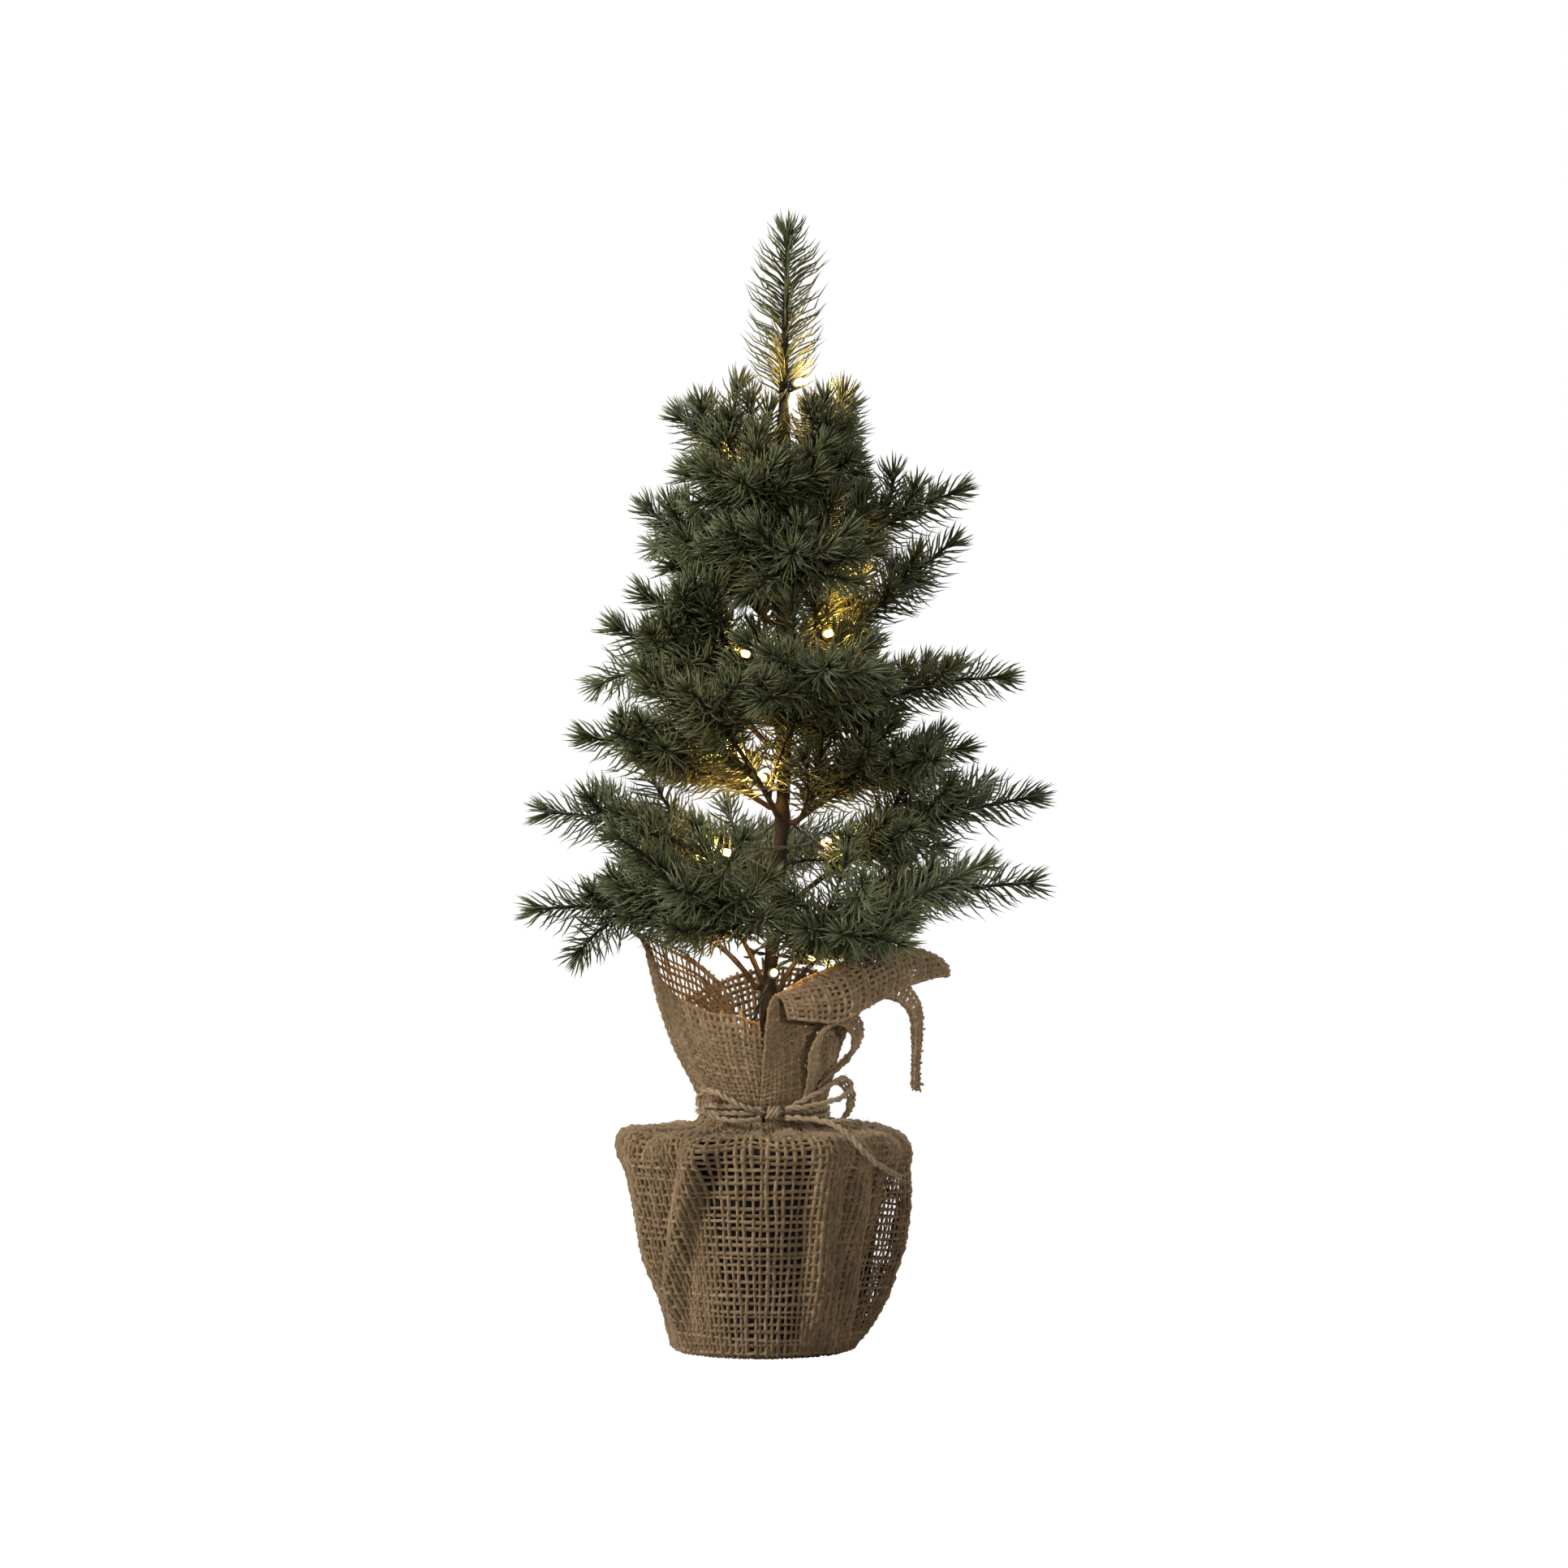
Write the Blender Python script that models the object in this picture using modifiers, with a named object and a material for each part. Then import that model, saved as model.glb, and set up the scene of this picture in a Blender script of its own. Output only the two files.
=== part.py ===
"""Artificial tabletop tree, 450 mm tall: a weighted pot with a battery bay in its floor, wrapped in a burlap
square that is tied at the neck with twine. A taped wire trunk carries bendable branches and a light string.

Frame: metres, +Z up, origin on the ground under the middle of the foliage. Front is -Y, right is +X.
"""

import math

import bmesh
import bpy
import numpy as np
from mathutils import Matrix, Vector

# ---------------------------------------------------------------- driving dimensions (metres)
MM = 0.001
TREE_HEIGHT = 0.450
POT_X = -0.0086  # the pot stands a little left of the middle of the foliage
POT_BOTTOM_Z = 0.0016
POT_TOP_Z = 0.0840
POT_BOTTOM_R = 0.0340
POT_TOP_R = 0.0510
POT_WALL = 0.0016
POT_FLOOR = 0.0020

CLOTH_T = 0.0012
CLOTH_HOLE_R = 0.0312  # the cloth is cut away under the battery bay
NECK_Z = 0.0949
NECK_R = 0.0232

BAY_X, BAY_Y, BAY_TOP_Z = 0.0506, 0.0336, 0.0162  # battery bay, inside
BAY_WALL = 0.0014
DOOR_T = 0.0016
DOOR_GAP = 0.0003
CELL_R, CELL_L = 0.00525, 0.0445  # AAA
CELL_PITCH = 0.0111
CELL_Z = 0.00925

CORE_R = 0.0015
WRAP_R = 0.0028
TRUNK_TOP_Z = 0.3700
WIRE_R = 0.00065
HELIX_R = 0.0066
STEM_R = 0.00105
GAP = 0.0003

# ---------------------------------------------------------------- scene
for old in list(bpy.data.objects):
    bpy.data.objects.remove(old, do_unlink=True)

PARTS = bpy.data.collections.new("artificial_tabletop_tree")
CUTTERS = bpy.data.collections.new("cutters")
bpy.context.scene.collection.children.link(PARTS)
bpy.context.scene.collection.children.link(CUTTERS)


def material(name, colour, rough, metal=0.0):
    m = bpy.data.materials.new(name)
    m.use_nodes = True
    p = m.node_tree.nodes["Principled BSDF"]
    p.inputs["Base Color"].default_value = (*colour, 1.0)
    p.inputs["Roughness"].default_value = rough
    p.inputs["Metallic"].default_value = metal
    return m


PLASTIC = material("black_plastic", (0.025, 0.025, 0.027), 0.45)
CEMENT = material("cement", (0.42, 0.40, 0.37), 0.95)
STEEL = material("zinc_steel", (0.55, 0.55, 0.56), 0.35, 1.0)
CELL = material("cell_sleeve", (0.20, 0.22, 0.24), 0.3)
BOARD = material("circuit_board", (0.03, 0.16, 0.07), 0.4)
KNOB = material("switch_knob", (0.75, 0.75, 0.73), 0.4)
TAPE = material("trunk_tape", (0.035, 0.026, 0.020), 0.85)
NEEDLE = material("needles", (0.030, 0.055, 0.028), 0.55)
BURLAP = material("burlap", (0.30, 0.215, 0.13), 0.95)
TWINE = material("jute_twine", (0.34, 0.25, 0.15), 0.9)
CABLE = material("cable", (0.02, 0.035, 0.022), 0.5)
BULB = material("bulb", (0.95, 0.72, 0.32), 0.15)


# ---------------------------------------------------------------- helpers
def link(obj, mat, where=None):
    (where or PARTS).objects.link(obj)
    if mat:
        obj.data.materials.clear()
        obj.data.materials.append(mat)
    return obj


def evaluated_mesh(obj):
    bpy.context.view_layer.update()
    graph = bpy.context.evaluated_depsgraph_get()
    return bpy.data.meshes.new_from_object(obj.evaluated_get(graph))


def baked(obj, weld=1e-6):
    """The object with its curve or modifiers turned into a plain welded mesh."""
    name, where, mats = obj.name, obj.users_collection[0], list(obj.data.materials)
    me = evaluated_mesh(obj)
    bm = bmesh.new()
    bm.from_mesh(me)
    bmesh.ops.remove_doubles(bm, verts=bm.verts, dist=weld)
    bmesh.ops.dissolve_degenerate(bm, edges=bm.edges, dist=1e-7)
    bmesh.ops.recalc_face_normals(bm, faces=bm.faces)
    bm.to_mesh(me)
    bm.free()
    world = obj.matrix_world.copy()
    bpy.data.objects.remove(obj, do_unlink=True)
    new = bpy.data.objects.new(name, me)
    new.name = name
    where.objects.link(new)
    new.matrix_world = world
    me.materials.clear()
    for m in mats:
        me.materials.append(m)
    return new


def tube(name, points, radii, mat, sides_res=1, caps=True):
    """A POLY curve tube; radii is one number or one for each point."""
    data = bpy.data.curves.new(name, "CURVE")
    data.dimensions = "3D"
    data.bevel_resolution = sides_res
    data.use_fill_caps = caps
    widest = max(radii) if hasattr(radii, "__len__") else radii
    data.bevel_depth = widest
    spline = data.splines.new("POLY")
    spline.points.add(len(points) - 1)
    for i, p in enumerate(points):
        spline.points[i].co = (*p, 1.0)
        spline.points[i].radius = (radii[i] if hasattr(radii, "__len__") else radii) / widest
    return link(bpy.data.objects.new(name, data), mat)


def turned(name, profile, mat, steps=24, at=(0, 0, 0)):
    """A solid turned about Z from an (r, z) profile listed from the top of the axis down its outer side to the bottom."""
    bm = bmesh.new()
    verts = [bm.verts.new((r, 0.0, z)) for r, z in profile]
    for a, b in zip(verts, verts[1:]):
        bm.edges.new((a, b))
    me = bpy.data.meshes.new(name)
    bm.to_mesh(me)
    bm.free()
    obj = link(bpy.data.objects.new(name, me), mat)
    obj.location = at
    s = obj.modifiers.new("turn", "SCREW")
    s.steps = s.render_steps = steps
    s.use_merge_vertices = True
    s.merge_threshold = 0.00001
    return obj


def box(name, centre, size, mat, bevel=0.0, where=None):
    bm = bmesh.new()
    bmesh.ops.create_cube(bm, size=1.0)
    bmesh.ops.scale(bm, vec=size, verts=bm.verts)
    me = bpy.data.meshes.new(name)
    bm.to_mesh(me)
    bm.free()
    obj = link(bpy.data.objects.new(name, me), mat, where)
    obj.location = centre
    if bevel:
        b = obj.modifiers.new("edges", "BEVEL")
        b.width = bevel
        b.segments = 2
    return obj


def rod(name, centre, radius, length, axis, mat, vertices=16, where=None):
    bm = bmesh.new()
    bmesh.ops.create_cone(
        bm, cap_ends=True, cap_tris=False, segments=vertices, radius1=radius, radius2=radius, depth=length
    )
    if axis == "X":
        bmesh.ops.rotate(bm, cent=(0, 0, 0), matrix=Matrix.Rotation(math.pi / 2, 3, "Y"), verts=bm.verts)
    me = bpy.data.meshes.new(name)
    bm.to_mesh(me)
    bm.free()
    obj = link(bpy.data.objects.new(name, me), mat, where)
    obj.location = centre
    return obj


def boolean(obj, other, operation):
    """Joins or cuts with a helper that is then removed."""
    m = obj.modifiers.new(operation.lower(), "BOOLEAN")
    m.operation = operation
    m.object = other
    m.solver = "EXACT"
    out = baked(obj)
    bpy.data.objects.remove(other, do_unlink=True)
    return out


def smooth(obj, angle=35):
    me = obj.data
    me.shade_smooth()
    me.set_sharp_from_angle(angle=math.radians(angle))
    return obj


def catmull(points, count):
    """count points on a smooth curve through the given points, evenly spaced in length."""
    p = [Vector(q) for q in points]
    p = [p[0] * 2 - p[1]] + p + [p[-1] * 2 - p[-2]]
    fine = []
    for i in range(1, len(p) - 2):
        a, b, c, d = p[i - 1 : i + 3]
        for k in range(24):
            t = k / 24
            fine.append(
                0.5
                * (
                    2 * b
                    + (c - a) * t
                    + (2 * a - 5 * b + 4 * c - d) * t * t
                    + (3 * b - a - 3 * c + d) * t**3
                )
            )
    fine.append(p[-2])
    along = [0.0]
    for a, b in zip(fine, fine[1:]):
        along.append(along[-1] + (b - a).length)
    out = []
    k = 0
    for i in range(count):
        want = along[-1] * i / (count - 1)
        while k < len(along) - 2 and along[k + 1] < want:
            k += 1
        f = (want - along[k]) / max(along[k + 1] - along[k], 1e-12)
        out.append(fine[k].lerp(fine[k + 1], min(max(f, 0.0), 1.0)))
    return out


def smoothstep(t):
    t = min(max(t, 0.0), 1.0)
    return t * t * (3 - 2 * t)


# ---------------------------------------------------------------- trunk axis
def trunk_x(z):
    """The trunk rises from the middle of the pot and leans until it stands over the origin."""
    lean = smoothstep((z - 0.095) / 0.135)
    top = 0.0016 * smoothstep((z - 0.37) / 0.08)
    return POT_X * (1 - lean) - 0.0004 * lean + top


# ---------------------------------------------------------------- pot, ballast, battery bay
def pot_r(z):
    f = (z - POT_BOTTOM_Z) / (POT_TOP_Z - POT_BOTTOM_Z)
    return POT_BOTTOM_R + (POT_TOP_R - POT_BOTTOM_R) * f


floor_z = POT_BOTTOM_Z + POT_FLOOR
pot = turned(
    "pot_shell",
    [
        (0.0, floor_z),
        (pot_r(floor_z) - POT_WALL, floor_z),
        (pot_r(0.081) - POT_WALL, 0.081),
        (POT_TOP_R - POT_WALL + 0.0003, POT_TOP_Z),
        (POT_TOP_R + 0.0004, POT_TOP_Z),
        (POT_TOP_R + 0.0006, POT_TOP_Z - 0.0012),
        (POT_TOP_R + 0.0004, 0.0795),
        (pot_r(0.0785), 0.0785),
        (POT_BOTTOM_R + 0.0006, POT_BOTTOM_Z + 0.0014),
        (POT_BOTTOM_R - 0.0008, POT_BOTTOM_Z),
        (0.0, POT_BOTTOM_Z),
    ],
    PLASTIC,
    steps=28,
    at=(POT_X, 0, 0),
)
pot = baked(pot)
bay_block = box(
    "bay_block",
    (POT_X, 0, (POT_BOTTOM_Z + 0.0008 + BAY_TOP_Z + BAY_WALL) / 2),
    (BAY_X + 2 * BAY_WALL, BAY_Y + 2 * BAY_WALL, BAY_TOP_Z + BAY_WALL - POT_BOTTOM_Z - 0.0008),
    PLASTIC,
)
pot = boolean(pot, bay_block, "UNION")
bay_space = box(
    "bay_space",
    (POT_X, 0, (BAY_TOP_Z - 0.001) / 2),
    (BAY_X, BAY_Y, BAY_TOP_Z + 0.001),
    PLASTIC,
)
pot = boolean(pot, bay_space, "DIFFERENCE")
SWITCH_Y = 0.0235
switch_slot = box("switch_slot", (POT_X, SWITCH_Y, POT_BOTTOM_Z), (0.0090, 0.0032, 0.012), PLASTIC)
pot = boolean(pot, switch_slot, "DIFFERENCE")
lead_hole = rod("lead_hole", (POT_X + 0.018, BAY_Y / 2, 0.0105), 0.0013, 0.012, "Z", PLASTIC, vertices=10)
lead_hole.rotation_euler = (math.pi / 2, 0, 0)
pot = boolean(pot, lead_hole, "DIFFERENCE")
smooth(pot)

BALLAST_LOW, BALLAST_TOP = 0.0182, 0.0680


def inner_r(z):
    return pot_r(z) - POT_WALL - 0.0004


ballast = turned(
    "ballast_plug",
    [
        (0.0, BALLAST_TOP - 0.0015),
        (0.012, BALLAST_TOP),
        (inner_r(BALLAST_TOP) - 0.0025, BALLAST_TOP),
        (inner_r(BALLAST_TOP - 0.002), BALLAST_TOP - 0.002),
        (inner_r(BALLAST_LOW + 0.002), BALLAST_LOW + 0.002),
        (inner_r(BALLAST_LOW) - 0.0015, BALLAST_LOW),
        (0.0, BALLAST_LOW),
    ],
    CEMENT,
    steps=24,
    at=(POT_X, 0, 0),
)
ballast = baked(ballast)
socket = rod("socket", (POT_X, 0, 0.060), CORE_R + GAP, 0.050, "Z", CEMENT, vertices=12)
ballast = boolean(ballast, socket, "DIFFERENCE")
CHANNEL = (POT_X + 0.0150, 0.0190)  # the light string comes up beside the trunk, clear of the battery bay
channel = rod("channel", (*CHANNEL, 0.040), 0.0018, 0.080, "Z", CEMENT, vertices=10)
ballast = boolean(ballast, channel, "DIFFERENCE")
smooth(ballast)

# Hinged battery door, flush in the mouth of the bay. Its origin is on the hinge line, at the outer face's +X edge.
DOOR_X, DOOR_Y = BAY_X - 2 * DOOR_GAP, BAY_Y - 2 * DOOR_GAP
DOOR_Z = POT_BOTTOM_Z + 0.0002
HINGE = (POT_X + DOOR_X / 2, 0.0, DOOR_Z)
door = box("battery_door", (POT_X, 0, DOOR_Z + DOOR_T / 2), (DOOR_X, DOOR_Y, DOOR_T), PLASTIC, bevel=0.00025)
door = baked(door)
for k in range(5):  # grip ribs near the free edge
    rib = box(
        "rib",
        (POT_X - DOOR_X / 2 + 0.0050 + 0.0016 * k, 0, DOOR_Z + DOOR_T),
        (0.0007, 0.020, 0.0008),
        PLASTIC,
    )
    door = boolean(door, rib, "UNION")
latch = box("latch", (POT_X - DOOR_X / 2 + 0.0012, 0, DOOR_Z + DOOR_T + 0.0008), (0.0010, 0.009, 0.0022), PLASTIC)
door = boolean(door, latch, "UNION")
door.data.transform(Matrix.Translation(-Vector(HINGE)) @ door.matrix_world)
door.matrix_world = Matrix.Translation(HINGE)
smooth(door)

# Three AAA cells lying along X, every second one turned round.
cell_gap = 0.0004
for n, way in ((1, 1), (2, -1), (3, 1)):
    y = (n - 2) * CELL_PITCH
    half = CELL_L / 2
    cell = turned(
        f"battery_{n}",
        [
            (0.0, half),
            (0.0017, half),
            (0.0019, half - 0.0002),
            (0.0019, half - 0.0010),
            (CELL_R - 0.0006, half - 0.0010),
            (CELL_R, half - 0.0016),
            (CELL_R, -half + 0.0007),
            (CELL_R - 0.0007, -half),
            (0.0, -half),
        ],
        CELL,
        steps=16,
    )
    cell = baked(cell)
    x = POT_X + way * (BAY_X / 2 - 0.0004 - 0.0005 - cell_gap - half)
    cell.matrix_world = (
        Matrix.Translation((x, y, CELL_Z)) @ Matrix.Rotation(way * math.pi / 2, 4, "Y")
    )
    smooth(cell)

# Contact strips stand on the bay's two end walls, with a coiled spring for each cell's flat end.
SPRING_L = BAY_X - CELL_L - 0.0004 - 0.0005 - cell_gap - 0.0004 - 0.0005 - 0.0004


def contact_strip(name, side, springs):
    face_x = POT_X + side * (BAY_X / 2 - 0.0004)
    strip = box(
        name,
        (face_x - side * 0.00025, 0, CELL_Z),
        (0.0005, 2 * CELL_PITCH + 0.0086, 0.0090),
        STEEL,
    )
    strip = baked(strip)
    for n in springs:
        y = (n - 2) * CELL_PITCH
        points = []
        turns, per = 2.5, 8
        for k in range(int(turns * per) + 1):
            f = k / (turns * per)
            a = 2 * math.pi * k / per
            r = 0.0033 - 0.0012 * f
            points.append(
                (
                    face_x - side * (0.0004 + SPRING_L * f),
                    y + r * math.cos(a),
                    CELL_Z + r * math.sin(a),
                )
            )
        coil = tube("coil", points, 0.00032, STEEL, sides_res=0)
        coil = baked(coil)
        strip = boolean(strip, coil, "UNION")
    return smooth(strip)


contact_strip("contact_strip_right", 1, (2,))
contact_strip("contact_strip_left", -1, (1, 3))

board = box("circuit_board", (POT_X + 0.0015, 0.0239, 0.0130), (0.022, 0.0080, 0.0012), BOARD, bevel=0.0002)
board = baked(board)
chip = box("chip", (POT_X - 0.0035, 0.0239, 0.0142), (0.005, 0.004, 0.0016), BOARD)
board = boolean(board, chip, "UNION")
cap = rod("cap", (POT_X + 0.0060, 0.0239, 0.0145), 0.0014, 0.0022, "Z", BOARD, vertices=10)
board = boolean(board, cap, "UNION")

switch = box("switch_body", (POT_X, SWITCH_Y, floor_z + 0.0003 + 0.0022), (0.0125, 0.0056, 0.0044), PLASTIC, bevel=0.0002)
switch = baked(switch)
switch_well = box("switch_well", (POT_X, SWITCH_Y, floor_z), (0.0080, 0.0026, 0.0032), PLASTIC)
switch = boolean(switch, switch_well, "DIFFERENCE")
KNOB_TRAVEL = 0.0020  # off, on, timer
knob = box("switch_knob", (POT_X, SWITCH_Y, POT_BOTTOM_Z + 0.0012), (0.0030, 0.0019, 0.0036), KNOB, bevel=0.0002)
knob = baked(knob)
smooth(knob)

# ---------------------------------------------------------------- trunk
core_points = [(trunk_x(z), 0.0, z) for z in np.linspace(0.0356, TRUNK_TOP_Z, 20)]
core = baked(tube("trunk_core", core_points, CORE_R, STEEL, sides_res=1))
smooth(core)

wrap_points = [(trunk_x(z), 0.0, z) for z in np.linspace(0.0750, TRUNK_TOP_Z - 0.0008, 19)]
wrap = tube("trunk_wrap", wrap_points, WRAP_R, TAPE, sides_res=2, caps=False)
wrap = baked(wrap)
shell = wrap.modifiers.new("tape", "SOLIDIFY")
shell.thickness = WRAP_R - CORE_R - 0.00035
shell.offset = -1
wrap = baked(wrap)
smooth(wrap)

# ---------------------------------------------------------------- branches
# name: height of the joint on the trunk, rise at the joint (degrees), tip of the longest sprig, and side sprigs
# as (share along the main sprig, tip). Millimetres; the tips are those of the needles.
BRANCHES = {
    "branch_01_top_left": (327, 62, (-48, -12, 372), [(0.36, (-32, 12, 379)), (0.34, (-15, -13, 387))]),
    "branch_02_top_right": (322, 66, (25, -9, 384), [(0.45, (30, 22, 364))]),
    "branch_03_top_front": (314, 48, (-19, -66, 340), [(0.40, (-42, -44, 330)), (0.42, (6, -52, 352))]),
    "branch_04_top_back": (316, 55, (12, 62, 356), [(0.42, (-24, 50, 350))]),
    "branch_05_upper_left": (287, 44, (-60, -9, 337), [(0.40, (-56, 24, 318))]),
    "branch_06_upper_right": (299, 44, (76, -12, 341), [(0.42, (42, -28, 350))]),
    "branch_07_low_upper_left": (254, 46, (-61, -34, 301), [(0.42, (-40, -52, 300))]),
    "branch_08_right_rising": (262, 48, (73, 12, 324), [(0.45, (58, 40, 306))]),
    "branch_09_upper_front": (290, 38, (4, -76, 312), [(0.40, (33, -58, 298)), (0.42, (-20, -66, 290))]),
    "branch_10_upper_back": (283, 46, (-10, 76, 318), [(0.42, (27, 66, 310))]),
    "branch_11_mid_left": (238, 46, (-73, -9, 289), [(0.45, (-80, 22, 260)), (0.40, (-52, 38, 276))]),
    "branch_12_mid_left_low": (214, 32, (-85, -26, 243), [(0.42, (-66, -54, 244))]),
    "branch_13_mid_right": (232, 50, (95, -6, 265), [(0.40, (66, 34, 270))]),
    "branch_14_mid_right_low": (208, 38, (77, -30, 238), [(0.42, (60, -60, 232))]),
    "branch_15_mid_front": (236, 44, (18, -88, 268), [(0.38, (46, -66, 264)), (0.40, (-14, -84, 252))]),
    "branch_16_mid_front_left": (211, 42, (-40, -82, 262), [(0.42, (-62, -56, 272))]),
    "branch_17_mid_back": (240, 44, (-22, 88, 276), [(0.42, (22, 84, 270))]),
    "branch_18_low_left": (182, 36, (-103, 0, 213), [(0.45, (-76, 46, 222))]),
    "branch_19_left_drooping": (143, 58, (-105, -24, 173), [(0.55, (-83, -42, 152))]),
    "branch_20_low_right": (176, 42, (106, -10, 219), [(0.42, (84, 36, 226))]),
    "branch_21_right_level": (136, 60, (106, 4, 184), [(0.45, (76, 54, 188))]),
    "branch_22_right_front": (139, 62, (50, -70, 160), [(0.45, (84, -46, 196)), (0.42, (30, -92, 190))]),
    "branch_23_left_front": (144, 54, (-46, -80, 184), [(0.42, (-72, -62, 208)), (0.42, (-12, -98, 206))]),
    "branch_24_low_back": (164, 50, (-36, 96, 200), [(0.40, (40, 98, 204)), (0.42, (-78, 70, 178))]),
}
FOLIAGE_FROM = 0.024  # bare taped stem from the trunk to here
FOLIAGE_R = 0.0052
TIP_R = 0.0012


def bezier(p0, p1, p2, t):
    return p0 * (1 - t) ** 2 + p1 * (2 * t * (1 - t)) + p2 * t * t


def branch_paths(name):
    """(main path, side paths, unit direction away from the trunk, joint point)."""
    height, rise, tip, sides = BRANCHES[name]
    z0 = height * MM
    centre = Vector((trunk_x(z0), 0, z0))
    tip = Vector(tip) * MM
    out = Vector((tip.x - centre.x, tip.y, 0)).normalized()
    p0 = centre + out * (WRAP_R + GAP + 0.0024)
    reach = (tip - p0).length
    up = math.radians(rise)
    aim = out * math.cos(up) + Vector((0, 0, math.sin(up)))
    p1 = p0 + aim * reach * 0.48
    main = [centre + out * (WRAP_R + GAP)] + [bezier(p0, p1, tip, t) for t in np.linspace(0, 1, 8)]
    side_paths = []
    for share, end in sides:
        end = Vector(end) * MM
        s0 = bezier(p0, p1, tip, share)
        ahead = (bezier(p0, p1, tip, share + 0.03) - s0).normalized()
        far = (end - s0).length
        s1 = s0 + ahead * far * 0.38
        side_paths.append([bezier(s0, s1, end, t) for t in np.linspace(0, 1, 6)])
    return main, side_paths, out, centre + out * (WRAP_R + GAP)


def lengths(points):
    along = [0.0]
    for a, b in zip(points, points[1:]):
        along.append(along[-1] + (b - a).length)
    return along


def brush_radii(points, bare):
    """Bare stem, then the body of the needles, then a taper to the tip."""
    along = lengths(points)
    total = along[-1]
    radii = []
    for s in along:
        r = STEM_R + (FOLIAGE_R - STEM_R) * smoothstep((s - bare) / 0.014)
        tip = (total - s) / 0.022
        radii.append(min(r, TIP_R + (FOLIAGE_R - TIP_R) * smoothstep(tip)))
    return radii


def branch(name):
    main, sides, out, joint = branch_paths(name)
    body = baked(tube(name, main, brush_radii(main, FOLIAGE_FROM), NEEDLE, sides_res=1))
    for i, path in enumerate(sides):
        twig = baked(tube(f"twig_{i}", path, brush_radii(path, 0.002), NEEDLE, sides_res=1))
        body = boolean(body, twig, "UNION")
    # the origin is on the bend at the trunk
    body.data.transform(Matrix.Translation(-joint))
    body.matrix_world = Matrix.Translation(joint)
    return smooth(body, 60)


for branch_name in BRANCHES:
    branch(branch_name)

leader_base = Vector((trunk_x(TRUNK_TOP_Z), 0, TRUNK_TOP_Z + 0.0004))
leader_points = [leader_base]
for z in (0.374, 0.380, 0.388, 0.396, 0.408, 0.420, 0.430, 0.438, 0.444, TREE_HEIGHT):
    leader_points.append(Vector((trunk_x(z), 0, z)))
leader_r = []
for p in leader_points:
    r = 0.0017 + (0.0062 - 0.0017) * smoothstep((p.z - 0.384) / 0.016)
    leader_r.append(min(r, TIP_R + (0.0062 - TIP_R) * smoothstep((TREE_HEIGHT - p.z) / 0.040)))
leader = baked(tube("leader_sprig", leader_points, leader_r, NEEDLE, sides_res=2))
leader.data.transform(Matrix.Translation(-leader_base))
leader.matrix_world = Matrix.Translation(leader_base)
smooth(leader, 60)

# ---------------------------------------------------------------- light string
# Each bulb: height (mm), angle round the trunk counted on as the string winds (degrees), distance from the trunk (mm).
LIGHTS = [
    (149.0, -84, 13.0),
    (154.5, -24, 15.5),
    (157.0, 224, 14.0),
    (196.0, 553, 20.5),
    (200.0, 684, 20.5),
    (225.5, 955, 13.5),
    (235.0, 1292, 18.5),
    (274.0, 1662, 19.0),
    (282.0, 1766, 20.0),
    (309.0, 2128, 19.0),
    (351.0, 2374, 17.0),
    (381.0, 2470, 8.0),
]
BULB_BACK, BULB_L = 0.0034, 0.0074


def on_trunk(z, turn, r):
    a = math.radians(turn)
    return Vector((trunk_x(z) + r * math.cos(a), r * math.sin(a), z))


def string_route():
    """Up through the pot and the neck, then round the trunk, swinging out to each bulb."""
    start = Vector((*CHANNEL, 0.0150))
    route = [start, Vector((*CHANNEL, 0.045)), Vector((*CHANNEL, 0.0695))]
    route += [Vector((POT_X + 0.011, 0.012, 0.0800)), on_trunk(0.0930, -330, HELIX_R + 0.0012), on_trunk(0.108, -250, HELIX_R)]
    route += [on_trunk(0.122, -170, HELIX_R)]
    last = (122.0, -170.0)
    for z, turn, r in LIGHTS:
        z0, t0 = last
        span = turn - t0
        steps = max(1, round(span / 62))
        for k in range(1, steps):
            f = k / steps
            route.append(on_trunk((z0 + (z - z0) * f) * MM, t0 + span * f, HELIX_R))
        route.append(on_trunk(z * MM, turn, r * MM - BULB_BACK - WIRE_R - GAP))
        last = (z, turn)
    return route


route = string_route()
wire_points = catmull(route, 124)
wire = baked(tube("light_wire", wire_points, WIRE_R, CABLE, sides_res=0))
smooth(wire, 80)

for n, (z, turn, r) in enumerate(LIGHTS, 1):
    bulb = turned(
        f"led_bulb_{n:02d}",
        [
            (0.0, BULB_L - BULB_BACK),
            (0.0010, BULB_L - BULB_BACK - 0.0003),
            (0.0017, BULB_L - BULB_BACK - 0.0011),
            (0.0019, BULB_L - BULB_BACK - 0.0022),
            (0.0019, -BULB_BACK + 0.0026),
            (0.0023, -BULB_BACK + 0.0024),
            (0.0021, -BULB_BACK),
            (0.0, -BULB_BACK),
        ],
        BULB,
        steps=10,
    )
    bulb = baked(bulb)
    a = math.radians(turn)
    aim = Vector((math.cos(a), math.sin(a), 0.2)).normalized()
    bulb.matrix_world = Matrix.Translation(on_trunk(z * MM, turn, r * MM)) @ aim.to_track_quat("Z", "Y").to_matrix().to_4x4()
    smooth(bulb, 50)


# ---------------------------------------------------------------- burlap wrap
def collar_edge(a):
    """(height, distance from the pot's axis) of the cloth's free edge at angle a. Two petals lean left and right."""
    left = math.exp(-(((a - math.radians(188)) / math.radians(42)) ** 2))
    right = math.exp(-(((a - math.radians(350)) / math.radians(30)) ** 2))
    right += math.exp(-(((a + 2 * math.pi - math.radians(350)) / math.radians(30)) ** 2))
    back = math.exp(-(((a - math.radians(92)) / math.radians(34)) ** 2))
    z = 0.127 + 0.034 * left + 0.024 * right + 0.014 * back
    r = 0.0225 + 0.0225 * left + 0.042 * right + 0.014 * back
    return z, r


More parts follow.
